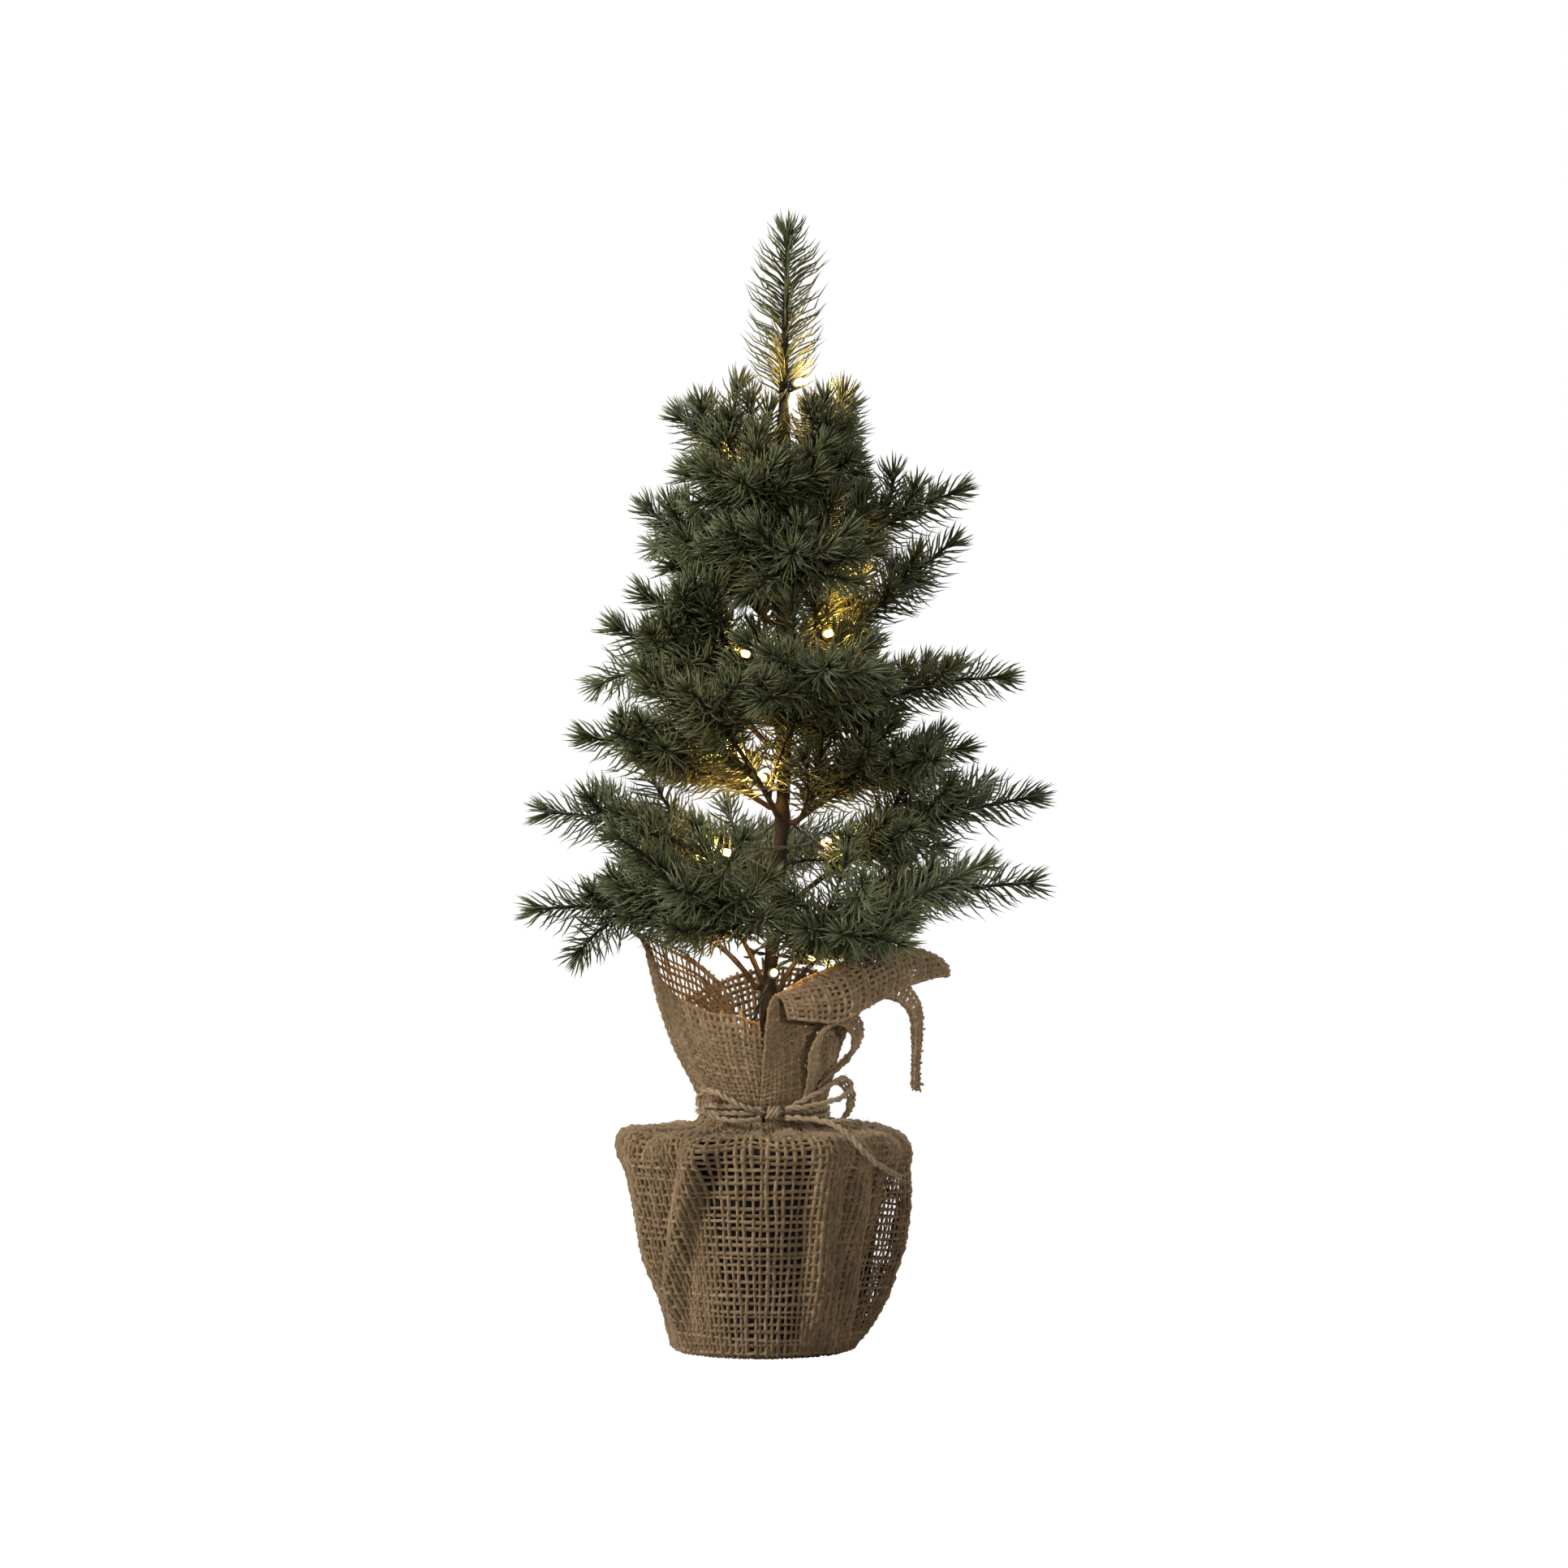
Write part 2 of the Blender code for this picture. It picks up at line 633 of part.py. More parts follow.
def wrap_surface(around=28):
    """Rows of points on the outside of the cloth, from the cut edge under the pot up to the free edge."""
    below = [
        (CLOTH_HOLE_R, 0.0),
        (POT_BOTTOM_R - 0.0006, 0.0),
        (POT_BOTTOM_R + 0.0022, 0.0022),
        (pot_r(0.022) + 0.0020, 0.022),
        (pot_r(0.044) + 0.0022, 0.044),
        (pot_r(0.064) + 0.0024, 0.064),
        (POT_TOP_R + 0.0026, 0.0775),
        (POT_TOP_R + 0.0018, 0.0846),
        (POT_TOP_R - 0.0028, 0.0874),
        (0.0400, 0.0884),
        (0.0285, 0.0892),
        (NECK_R + 0.0012, 0.0904),
        (NECK_R, 0.0920),
        (NECK_R, NECK_Z + 0.0026),
    ]
    rows = []
    for r, z in below:
        ring = []
        for k in range(around):
            a = 2 * math.pi * k / around
            loose = 0.0
            if 0.03 < z < 0.08:
                loose = 0.0035 * math.exp(-((((a + math.pi) % (2 * math.pi) - math.pi) / 0.35) ** 2)) * math.sin((z - 0.03) / 0.05 * math.pi)
            ring.append((POT_X + (r + loose) * math.cos(a), (r + loose) * math.sin(a), z))
        rows.append(ring)
    for f in (0.2, 0.5, 0.78, 1.0):
        ring = []
        for k in range(around):
            a = 2 * math.pi * k / around
            z1, r1 = collar_edge(a)
            lean = f**1.25
            z = NECK_Z + 0.0026 + (z1 - NECK_Z - 0.0026) * f
            r = NECK_R + (r1 - NECK_R) * lean
            ring.append((POT_X + r * math.cos(a), r * math.sin(a), z))
        rows.append(ring)
    return rows


rows = wrap_surface()
bm = bmesh.new()
grid = [[bm.verts.new(p) for p in ring] for ring in rows]
for low, high in zip(grid, grid[1:]):
    for k in range(len(low)):
        k2 = (k + 1) % len(low)
        bm.faces.new((low[k], low[k2], high[k2], high[k]))
me = bpy.data.meshes.new("burlap_wrap")
bm.to_mesh(me)
bm.free()
burlap = link(bpy.data.objects.new("burlap_wrap", me), BURLAP)
sheet = burlap.modifiers.new("cloth", "SOLIDIFY")
sheet.thickness = CLOTH_T
sheet.offset = -1
burlap = baked(burlap)
smooth(burlap, 50)

# ---------------------------------------------------------------- twine
TWINE_R = 0.00115
tie_r = NECK_R + TWINE_R + GAP + 0.0008


def tie_points():
    """Two turns round the neck, both ends at the front under the knot."""
    points = []
    turns, per = 1.92, 20
    first, sweep = math.radians(-90 + 14), 2 * math.pi * turns
    count = int(turns * per)
    for k in range(count + 1):
        f = k / count
        a = first + sweep * f
        z = NECK_Z + (f - 0.5) * 0.0052
        points.append((POT_X + tie_r * math.cos(a), tie_r * math.sin(a), z))
    return points


tie = baked(tube("twine_wrap", tie_points(), TWINE_R, TWINE, sides_res=1))
smooth(tie, 80)
KNOT_R = (0.0032, 0.0019, 0.0024)
knot_at = Vector((POT_X + 0.0040, -(tie_r + TWINE_R + GAP + KNOT_R[1]), NECK_Z))
bm = bmesh.new()
bmesh.ops.create_uvsphere(bm, u_segments=10, v_segments=7, radius=1.0)
bmesh.ops.scale(bm, vec=KNOT_R, verts=bm.verts)
me = bpy.data.meshes.new("twine_knot")
bm.to_mesh(me)
bm.free()
tie_knot = link(bpy.data.objects.new("twine_knot", me), TWINE)
tie_knot.location = knot_at

# Bow loops and tails in millimetres: x and y from the pot's axis, z from the middle of the tie. They start beside the knot.
BOW = {
    "twine_loop_left": [(-1.0, -28.4, 1.4), (-6, -30.6, 2.2), (-13, -30.5, 5.6), (-20, -27.5, 9.0), (-24.8, -23.8, 6.8), (-23.6, -25.0, 1.6), (-18, -28.4, -1.6), (-10.5, -31.4, -2.6), (-4.6, -32.0, -2.4), (-1.0, -30.6, -1.6)],
    "twine_loop_right": [(8.9, -27.8, 1.5), (16, -28.4, 5.2), (25, -26.0, 10.2), (31, -21.8, 13.4), (34.4, -19.4, 11.0), (31.5, -24.0, 6.4), (19, -31.6, 3.2), (9.2, -31.0, 1.9)],
    "twine_tail_short": [(8.9, -27.8, -1.4), (15, -28.9, -2.6), (22, -29.4, -2.9), (29, -27.9, -3.1), (35, -23.4, -3.3), (38.5, -19.6, -4.6)],
    "twine_tail_long": [(8.8, -31.0, -1.5), (16, -33.6, -1.6), (25, -37, -2.8), (32, -42, -6.2), (38, -43.0, -12.6), (43.5, -39.4, -18.2), (49, -33.2, -22.0), (54.5, -26, -25.8)],
}
for cord_name, mm_points in BOW.items():
    points = [Vector((POT_X + x * MM, y * MM, NECK_Z + z * MM)) for x, y, z in mm_points]
    count = 14 if cord_name == "twine_tail_short" else 22
    cord = baked(tube(cord_name, catmull(points, count), TWINE_R, TWINE, sides_res=1))
    smooth(cord, 80)
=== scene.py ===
import math

import bpy
import numpy as np
from mathutils import Matrix, Vector


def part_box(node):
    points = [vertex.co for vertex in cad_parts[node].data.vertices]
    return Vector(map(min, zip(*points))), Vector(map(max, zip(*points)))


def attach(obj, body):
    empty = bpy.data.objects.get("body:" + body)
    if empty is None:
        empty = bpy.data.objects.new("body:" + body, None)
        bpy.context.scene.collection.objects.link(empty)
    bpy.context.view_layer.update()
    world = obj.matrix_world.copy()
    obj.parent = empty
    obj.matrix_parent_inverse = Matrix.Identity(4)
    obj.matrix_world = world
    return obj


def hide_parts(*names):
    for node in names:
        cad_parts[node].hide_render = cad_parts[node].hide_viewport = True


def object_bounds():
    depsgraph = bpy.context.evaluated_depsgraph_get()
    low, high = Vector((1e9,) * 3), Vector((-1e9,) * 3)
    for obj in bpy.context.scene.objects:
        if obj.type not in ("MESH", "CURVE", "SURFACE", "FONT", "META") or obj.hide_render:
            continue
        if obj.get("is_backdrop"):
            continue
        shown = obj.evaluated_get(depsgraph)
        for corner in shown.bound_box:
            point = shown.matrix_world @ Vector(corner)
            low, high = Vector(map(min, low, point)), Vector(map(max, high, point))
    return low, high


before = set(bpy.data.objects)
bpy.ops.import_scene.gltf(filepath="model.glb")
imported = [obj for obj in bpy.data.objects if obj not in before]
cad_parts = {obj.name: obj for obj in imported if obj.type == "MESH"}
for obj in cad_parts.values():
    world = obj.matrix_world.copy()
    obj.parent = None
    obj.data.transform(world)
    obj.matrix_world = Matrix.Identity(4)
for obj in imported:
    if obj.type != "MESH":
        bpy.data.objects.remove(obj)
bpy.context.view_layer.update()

scene = bpy.context.scene
MM = 0.001

# ================================================================ camera, light, floor
cam_data = bpy.data.cameras.new("camera")
cam_data.sensor_width = 36.0
cam_data.lens = 116.33
cam_data.clip_start, cam_data.clip_end = 0.05, 30.0
cam = bpy.data.objects.new("camera", cam_data)
scene.collection.objects.link(cam)
cam.location = (-0.0003, -2.0, 0.2232)
cam.rotation_euler = (math.radians(90), 0, 0)
scene.camera = cam
scene.view_settings.view_transform = "Standard"


def area_light(name, at, toward, size, power, colour=(1, 1, 1)):
    data = bpy.data.lights.new(name, "AREA")
    data.shape, data.size, data.energy, data.color = "DISK", size, power, colour
    obj = bpy.data.objects.new(name, data)
    scene.collection.objects.link(obj)
    obj.location = at
    obj.rotation_euler = (Vector(toward) - Vector(at)).to_track_quat("-Z", "Y").to_euler()
    return obj


area_light("key", (-1.76, -0.95, 1.00), (0, 0, 0.20), 0.7, 58.0)
area_light("fill", (0.2, -2.0, 1.0), (0, 0, 0.22), 1.0, 7.5)
area_light("back", (0.4, 1.7, 1.6), (0, 0, 0.25), 1.2, 26.0)
area_light("side", (1.35, 1.15, 1.55), (0, 0, 0.28), 0.7, 28.0)

spot = bpy.data.lights.new("collar_spot", "SPOT")
spot.energy, spot.spot_size, spot.spot_blend, spot.shadow_soft_size = 90.0, math.radians(4.6), 1.0, 0.06
spot = bpy.data.objects.new("collar_spot", spot)
scene.collection.objects.link(spot)
spot.location = (0.35, -1.25, 0.30)
spot.rotation_euler = (Vector((0.026, -0.03, 0.147)) - spot.location).to_track_quat("-Z", "Y").to_euler()

world = bpy.data.worlds.new("studio")
world.use_nodes = True
world.node_tree.nodes["Background"].inputs["Color"].default_value = (1, 1, 1, 1)
world.node_tree.nodes["Background"].inputs["Strength"].default_value = 0.17
seen = world.node_tree.nodes.new("ShaderNodeBackground")
seen.inputs["Color"].default_value = (1, 1, 1, 1)
seen.inputs["Strength"].default_value = 1.0
rays = world.node_tree.nodes.new("ShaderNodeLightPath")
either = world.node_tree.nodes.new("ShaderNodeMixShader")
world.node_tree.links.new(rays.outputs["Is Camera Ray"], either.inputs[0])
world.node_tree.links.new(world.node_tree.nodes["Background"].outputs[0], either.inputs[1])
world.node_tree.links.new(seen.outputs[0], either.inputs[2])
world.node_tree.links.new(either.outputs[0], world.node_tree.nodes["World Output"].inputs["Surface"])
scene.world = world


def nodes_of(mat):
    mat.use_nodes = True
    return mat.node_tree, mat.node_tree.nodes["Principled BSDF"]


floor_mesh = bpy.data.meshes.new("floor")
floor_mesh.from_pydata([(-6, -6, -0.0002), (6, -6, -0.0002), (6, 6, -0.0002), (-6, 6, -0.0002)], [], [(0, 1, 2, 3)])
floor = bpy.data.objects.new("floor", floor_mesh)
scene.collection.objects.link(floor)
floor_mat = bpy.data.materials.new("floor_pale")
tree, bsdf = nodes_of(floor_mat)
bsdf.inputs["Base Color"].default_value = (0.45, 0.45, 0.45, 1)
bsdf.inputs["Roughness"].default_value = 0.9
bsdf.inputs["Specular IOR Level"].default_value = 0.1
white = tree.nodes.new("ShaderNodeEmission")
white.inputs["Color"].default_value = (1, 1, 1, 1)
white.inputs["Strength"].default_value = 1.08
rays = tree.nodes.new("ShaderNodeLightPath")
part = tree.nodes.new("ShaderNodeMath")
part.operation = "MULTIPLY"
part.inputs[1].default_value = 0.94
paper = tree.nodes.new("ShaderNodeMixShader")
tree.links.new(rays.outputs["Is Camera Ray"], part.inputs[0])
tree.links.new(part.outputs[0], paper.inputs[0])
tree.links.new(bsdf.outputs[0], paper.inputs[1])
tree.links.new(white.outputs[0], paper.inputs[2])
clear = tree.nodes.new("ShaderNodeBsdfTransparent")
below = tree.nodes.new("ShaderNodeNewGeometry")
one_sided = tree.nodes.new("ShaderNodeMixShader")  # seen from below, the table isn't there
tree.links.new(below.outputs["Backfacing"], one_sided.inputs[0])
tree.links.new(paper.outputs[0], one_sided.inputs[1])
tree.links.new(clear.outputs[0], one_sided.inputs[2])
tree.links.new(one_sided.outputs[0], tree.nodes["Material Output"].inputs["Surface"])
floor_mesh.materials.append(floor_mat)
floor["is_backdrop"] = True


# ================================================================ mesh building
class Shape:
    """Points, quads, triangles, one tone (three numbers) per point and one material number per face."""

    def __init__(self):
        self.v, self.q, self.t, self.tone, self.qm, self.tm = [], [], [], [], [], []
        self.n = 0

    def add(self, v, q, t, tone, mat=0):
        v = np.asarray(v, float).reshape(-1, 3)
        self.v.append(v)
        self.tone.append(np.broadcast_to(np.asarray(tone, float), (len(v), 3)))
        if q is not None and len(q):
            self.q.append(np.asarray(q, np.int64) + self.n)
            self.qm.append(np.full(len(q), mat))
        if t is not None and len(t):
            self.t.append(np.asarray(t, np.int64) + self.n)
            self.tm.append(np.full(len(t), mat))
        self.n += len(v)

    def object(self, name, materials, smooth=True):
        v = np.concatenate(self.v)
        tone = np.concatenate(self.tone)
        q = np.concatenate(self.q) if self.q else np.zeros((0, 4), np.int64)
        t = np.concatenate(self.t) if self.t else np.zeros((0, 3), np.int64)
        mats = np.concatenate([*self.qm, *self.tm]) if (self.qm or self.tm) else np.zeros(0)
        me = bpy.data.meshes.new(name)
        me.vertices.add(len(v))
        me.vertices.foreach_set("co", v.astype(np.float32).ravel())
        loops = np.concatenate([q.ravel(), t.ravel()])
        me.loops.add(len(loops))
        me.loops.foreach_set("vertex_index", loops.astype(np.int32))
        me.polygons.add(len(q) + len(t))
        starts = np.concatenate([np.arange(len(q)) * 4, len(q) * 4 + np.arange(len(t)) * 3])
        me.polygons.foreach_set("loop_start", starts.astype(np.int32))
        me.polygons.foreach_set("material_index", mats.astype(np.int32))
        for m in materials:
            me.materials.append(m)
        me.update(calc_edges=True)
        me.validate()
        attr = me.color_attributes.new("tone", "FLOAT_COLOR", "POINT")
        attr.data.foreach_set("color", np.c_[tone, np.ones(len(tone))].astype(np.float32).ravel())
        if smooth:
            me.shade_smooth()
        obj = bpy.data.objects.new(name, me)
        scene.collection.objects.link(obj)
        return obj


def unit(a):
    return a / np.maximum(np.linalg.norm(a, axis=-1, keepdims=True), 1e-12)


def tangents(p):
    d = np.empty_like(p)
    d[1:-1] = p[2:] - p[:-2]
    d[0], d[-1] = p[1] - p[0], p[-1] - p[-2]
    return unit(d)


def frames(p):
    """Directions along and across a line of points, turning as little as they can."""
    t = tangents(p)
    n = np.empty_like(t)
    first = np.cross(t[0], (0, 0, 1)) if abs(t[0][2]) < 0.9 else np.cross(t[0], (0, 1, 0))
    n[0] = unit(first)
    for i in range(1, len(p)):
        n[i] = unit(n[i - 1] - t[i] * (n[i - 1] @ t[i]))
    return t, n, np.cross(t, n)


def along(p):
    return np.concatenate([[0.0], np.cumsum(np.linalg.norm(np.diff(p, axis=0), axis=1))])


def catmull(points, count):
    """count points evenly spaced on a smooth curve through the points."""
    p = np.asarray(points, float)
    p = np.vstack([2 * p[0] - p[1], p, 2 * p[-1] - p[-2]])
    t = np.linspace(0, 1, 24, endpoint=False)[:, None]
    fine = []
    for i in range(1, len(p) - 2):
        a, b, c, d = p[i - 1 : i + 3]
        fine.append(0.5 * (2 * b + (c - a) * t + (2 * a - 5 * b + 4 * c - d) * t**2 + (3 * b - a - 3 * c + d) * t**3))
    fine = np.vstack([*fine, p[-2]])
    return resample(fine, count)


def resample(p, count):
    s = along(p)
    want = np.linspace(0, s[-1], count)
    return np.stack([np.interp(want, s, p[:, k]) for k in range(3)], 1)


def tube(shape, p, radius, sides=6, tone=(0.5, 0.5, 0.5), mat=0, normals=None, spin=None, wide=1.0):
    """A closed tube round a line of points. Its second tone number is how far along it is, in metres, times 10."""
    p = np.asarray(p, float)
    n = len(p)
    radius = np.broadcast_to(np.asarray(radius, float), (n,))
    if normals is None:
        t, a, b = frames(p)
    else:
        t = tangents(p)
        b = unit(np.cross(t, normals))
        a = np.cross(b, t)
    turn = np.linspace(0, 2 * np.pi, sides, endpoint=False)[None, :, None]
    if spin is not None:
        turn = turn + np.asarray(spin)[:, None, None]
    ring = p[:, None] + radius[:, None, None] * (np.cos(turn) * a[:, None] + wide * np.sin(turn) * b[:, None])
    v = np.vstack([ring.reshape(-1, 3), p[0], p[-1]])
    i = np.arange(n - 1)[:, None] * sides
    j = np.arange(sides)[None, :]
    k = (j + 1) % sides
    q = np.stack([i + j, i + k, i + sides + k, i + sides + j], -1).reshape(-1, 4)[:, ::-1]
    end = n * sides
    j, k = j.ravel(), k.ravel()
    caps = np.concatenate([
        np.stack([np.full(sides, end), j, k], 1)[:, ::-1],
        np.stack([np.full(sides, end + 1), (n - 1) * sides + k, (n - 1) * sides + j], 1)[:, ::-1],
    ])
    tones = np.empty((len(v), 3))
    tones[:, 0], tones[:, 2] = tone[0], tone[2]
    s = along(p) * 10
    tones[:, 1] = np.concatenate([np.repeat(s, sides), [s[0], s[-1]]])
    shape.add(v, q, caps, tones, mat)


# ================================================================ materials
def new_material(name):
    mat = bpy.data.materials.new(name)
    tree, bsdf = nodes_of(mat)
    return mat, tree, bsdf


def node(tree, kind, **settings):
    made = tree.nodes.new(kind)
    for key, value in settings.items():
        if key in made.inputs:
            made.inputs[key].default_value = value
        else:
            setattr(made, key, value)
    return made


def ramp(tree, stops, source):
    made = tree.nodes.new("ShaderNodeValToRGB")
    el = made.color_ramp.elements
    while len(el) < len(stops):
        el.new(0.5)
    for e, (at, colour) in zip(el, stops):
        e.position = at
        e.color = (*colour, 1) if len(colour) == 3 else colour
    tree.links.new(source, made.inputs["Fac"])
    return made.outputs["Color"]


def noise(tree, scale, detail=3.0, rough=0.55, vector=None, distort=0.0):
    n = node(tree, "ShaderNodeTexNoise", Scale=scale, Detail=detail, Roughness=rough, Distortion=distort)
    if vector is None:
        vector = tree.nodes.new("ShaderNodeTexCoord").outputs["Object"]
    tree.links.new(vector, n.inputs["Vector"])
    return n.outputs["Fac"]


def mix(tree, kind, fac, a, b):
    m = node(tree, "ShaderNodeMix", data_type="RGBA", blend_type=kind)
    for socket, value in (("Factor", fac), ("A", a), ("B", b)):
        target = next(s for s in m.inputs if s.name == socket and (s.type == "VALUE" if socket == "Factor" else s.type == "RGBA"))
        if isinstance(value, bpy.types.NodeSocket):
            tree.links.new(value, target)
        else:
            target.default_value = value if socket == "Factor" else (*value, 1)
    return next(s for s in m.outputs if s.type == "RGBA")


def math_node(tree, operation, a, b=0.0, clamp=False):
    m = node(tree, "ShaderNodeMath", operation=operation, use_clamp=clamp)
    for i, value in enumerate((a, b)):
        if isinstance(value, bpy.types.NodeSocket):
            tree.links.new(value, m.inputs[i])
        else:
            m.inputs[i].default_value = value
    return m.outputs[0]


def bump(tree, bsdf, height, strength, distance):
    b = node(tree, "ShaderNodeBump", Strength=strength, Distance=distance)
    tree.links.new(height, b.inputs["Height"])
    tree.links.new(b.outputs["Normal"], bsdf.inputs["Normal"])


def tone_of(tree):
    a = node(tree, "ShaderNodeAttribute", attribute_name="tone")
    s = tree.nodes.new("ShaderNodeSeparateColor")
    tree.links.new(a.outputs["Color"], s.inputs["Color"])
    return s.outputs[0], s.outputs[1], s.outputs[2]


def needle_material():
    mat, tree, bsdf = new_material("fir_needles")
    r, g, b = tone_of(tree)
    base = ramp(tree, [(0.0, (0.060, 0.062, 0.024)), (0.35, (0.090, 0.100, 0.034)), (0.7, (0.122, 0.126, 0.044)), (1.0, (0.180, 0.152, 0.058))], r)
    blue = mix(tree, "MIX", math_node(tree, "MULTIPLY", b, 0.40), base, (0.060, 0.096, 0.052))
    tip = mix(tree, "MIX", math_node(tree, "MULTIPLY", math_node(tree, "POWER", g, 2.2), 0.45), blue, (0.150, 0.150, 0.070))
    spots = noise(tree, 900.0, 2.0)
    speck = mix(tree, "MULTIPLY", 0.5, tip, ramp(tree, [(0.25, (0.62, 0.62, 0.62)), (0.75, (1.25, 1.22, 1.15))], spots))
    tree.links.new(speck, bsdf.inputs["Base Color"])
    tree.links.new(ramp(tree, [(0.0, (0.42,) * 3), (1.0, (0.62,) * 3)], spots), bsdf.inputs["Roughness"])
    bsdf.inputs["Specular IOR Level"].default_value = 0.38
    bump(tree, bsdf, noise(tree, 1500.0, 2.0), 0.25, 0.0002)
    return mat


def tape_material(name="stem_tape", dark=(0.009, 0.006, 0.004), light=(0.038, 0.022, 0.015), scale=260.0):
    mat, tree, bsdf = new_material(name)
    n = noise(tree, scale, 5.0, 0.65)
    base = ramp(tree, [(0.30, dark), (0.55, tuple((d + l) / 2 for d, l in zip(dark, light))), (0.80, light)], n)
    fine = noise(tree, scale * 6, 3.0, 0.6)
    tree.links.new(mix(tree, "MULTIPLY", 0.6, base, ramp(tree, [(0.3, (0.7,) * 3), (0.7, (1.3,) * 3)], fine)), bsdf.inputs["Base Color"])
    tree.links.new(ramp(tree, [(0.2, (0.65,) * 3), (0.8, (0.92,) * 3)], fine), bsdf.inputs["Roughness"])
    bsdf.inputs["Specular IOR Level"].default_value = 0.25
    bump(tree, bsdf, math_node(tree, "ADD", n, math_node(tree, "MULTIPLY", fine, 0.5)), 0.7, 0.0005)
    return mat


def fibre_material(name, dark, mid, light, twist=34.0, strength=0.8):
    """Spun jute: fibres wind round the yarn, which changes shade along its length."""
    mat, tree, bsdf = new_material(name)
    r, g, b = tone_of(tree)
    coords = tree.nodes.new("ShaderNodeTexCoord").outputs["Object"]
    patch = noise(tree, 55.0, 3.0, 0.6)
    slub = noise(tree, 420.0, 4.0, 0.65)
    fine = noise(tree, 2600.0, 3.0, 0.7)
    mixed = math_node(tree, "ADD", math_node(tree, "MULTIPLY", slub, 0.76), math_node(tree, "MULTIPLY", r, 0.24))
    base = ramp(tree, [(0.22, dark), (0.50, mid), (0.80, light)], mixed)
    shade = ramp(tree, [(0.3, (0.74, 0.72, 0.70)), (0.7, (1.18, 1.18, 1.18))], patch)
    base = mix(tree, "MULTIPLY", 0.8, base, shade)
    hair = ramp(tree, [(0.30, (0.62, 0.60, 0.58)), (0.55, (1.0, 1.0, 1.0)), (0.80, (1.35, 1.33, 1.28))], fine)
    base = mix(tree, "MULTIPLY", 0.75, base, hair)
    # the third tone number darkens the yarn; on the under layer, where it is 0.2, this is painted shade
    wear_and_shade = mix(tree, "MULTIPLY", b, base, (0.50, 0.48, 0.46))
    tree.links.new(wear_and_shade, bsdf.inputs["Base Color"])
    tree.links.new(ramp(tree, [(0.2, (0.82,) * 3), (0.8, (1.0,) * 3)], fine), bsdf.inputs["Roughness"])
    bsdf.inputs["Specular IOR Level"].default_value = 0.12
    bsdf.inputs["Sheen Weight"].default_value = 0.25
    bsdf.inputs["Sheen Roughness"].default_value = 0.5
    bsdf.inputs["Sheen Tint"].default_value = (0.9, 0.75, 0.55, 1)
    bump(tree, bsdf, math_node(tree, "ADD", slub, math_node(tree, "MULTIPLY", fine, 0.7)), strength, 0.0005)
    return mat


def plain_material(name, dark, light, rough, scale, strength=0.2, metal=0.0, spec=0.5):
    mat, tree, bsdf = new_material(name)
    n = noise(tree, scale, 4.0, 0.6)
    tree.links.new(ramp(tree, [(0.3, dark), (0.7, light)], n), bsdf.inputs["Base Color"])
    tree.links.new(ramp(tree, [(0.25, (rough[0],) * 3), (0.75, (rough[1],) * 3)], noise(tree, scale * 3.1, 3.0)), bsdf.inputs["Roughness"])
    bsdf.inputs["Metallic"].default_value = metal
    bsdf.inputs["Specular IOR Level"].default_value = spec
    bump(tree, bsdf, noise(tree, scale * 5.3, 3.0), strength, 0.0003)
    return mat


def glow_material():
    mat, tree, bsdf = new_material("lit_bulb")
    n = noise(tree, 700.0, 2.0)
    tree.links.new(ramp(tree, [(0.3, (1.0, 0.72, 0.34)), (0.7, (1.0, 0.84, 0.52))], n), bsdf.inputs["Base Color"])
    tree.links.new(ramp(tree, [(0.3, (1.0, 0.70, 0.30)), (0.7, (1.0, 0.80, 0.42))], n), bsdf.inputs["Emission Color"])
    bsdf.inputs["Emission Strength"].default_value = 2.4
    bsdf.inputs["Roughness"].default_value = 0.15
    return mat


NEEDLE = needle_material()
STEM = tape_material("stem_tape")
TRUNK = tape_material("trunk_tape", (0.005, 0.004, 0.003), (0.020, 0.013, 0.010), 320.0)
BURLAP = fibre_material("burlap_yarn", (0.104, 0.064, 0.031), (0.205, 0.134, 0.070), (0.375, 0.265, 0.153))
# the under layer is a darker copy of the burlap: painted shade of the cloth lying over it
LINING = fibre_material("burlap_under_layer", (0.095, 0.060, 0.030), (0.170, 0.113, 0.060), (0.270, 0.190, 0.110), strength=1.0)
TWINE = fibre_material("jute_twine", (0.150, 0.103, 0.058), (0.285, 0.205, 0.122), (0.450, 0.345, 0.225))
WIRE = plain_material("green_cable", (0.006, 0.012, 0.008), (0.014, 0.026, 0.016), (0.35, 0.5), 220.0)
HOLDER = plain_material("bulb_holder", (0.006, 0.010, 0.007), (0.016, 0.024, 0.016), (0.4, 0.55), 260.0)
GLOW = glow_material()

# ================================================================ the shared layout, as in the CAD source
POT_X = -0.0086
NECK_Z, NECK_R = 0.0949, 0.0232
WRAP_R, GAP, WIRE_R, HELIX_R = 0.0028, 0.0003, 0.00065, 0.0066
TRUNK_TOP_Z = 0.370
TWINE_R = 0.00115
CHANNEL = (POT_X + 0.0150, 0.0190)
BULB_BACK, BULB_L = 0.0034, 0.0074


def smoothstep(t):
    t = np.clip(t, 0.0, 1.0)
    return t * t * (3 - 2 * t)


def trunk_x(z):
    lean = smoothstep((z - 0.095) / 0.135)
    return POT_X * (1 - lean) - 0.0004 * lean + 0.0016 * smoothstep((z - 0.37) / 0.08)


def pot_r(z):
    return 0.0340 + (0.0510 - 0.0340) * (z - 0.0016) / (0.0840 - 0.0016)


# ================================================================ twine (the free cords come first)
tie_r = NECK_R + TWINE_R + GAP + 0.0008


def tie_points():
    points = []
    first, sweep = math.radians(-90 + 14), 2 * math.pi * 1.92
    count = 110
    for k in range(count + 1):
        f = k / count
        a = first + sweep * f
        points.append((POT_X + tie_r * math.cos(a), tie_r * math.sin(a), NECK_Z + (f - 0.5) * 0.0052))
    return np.array(points)


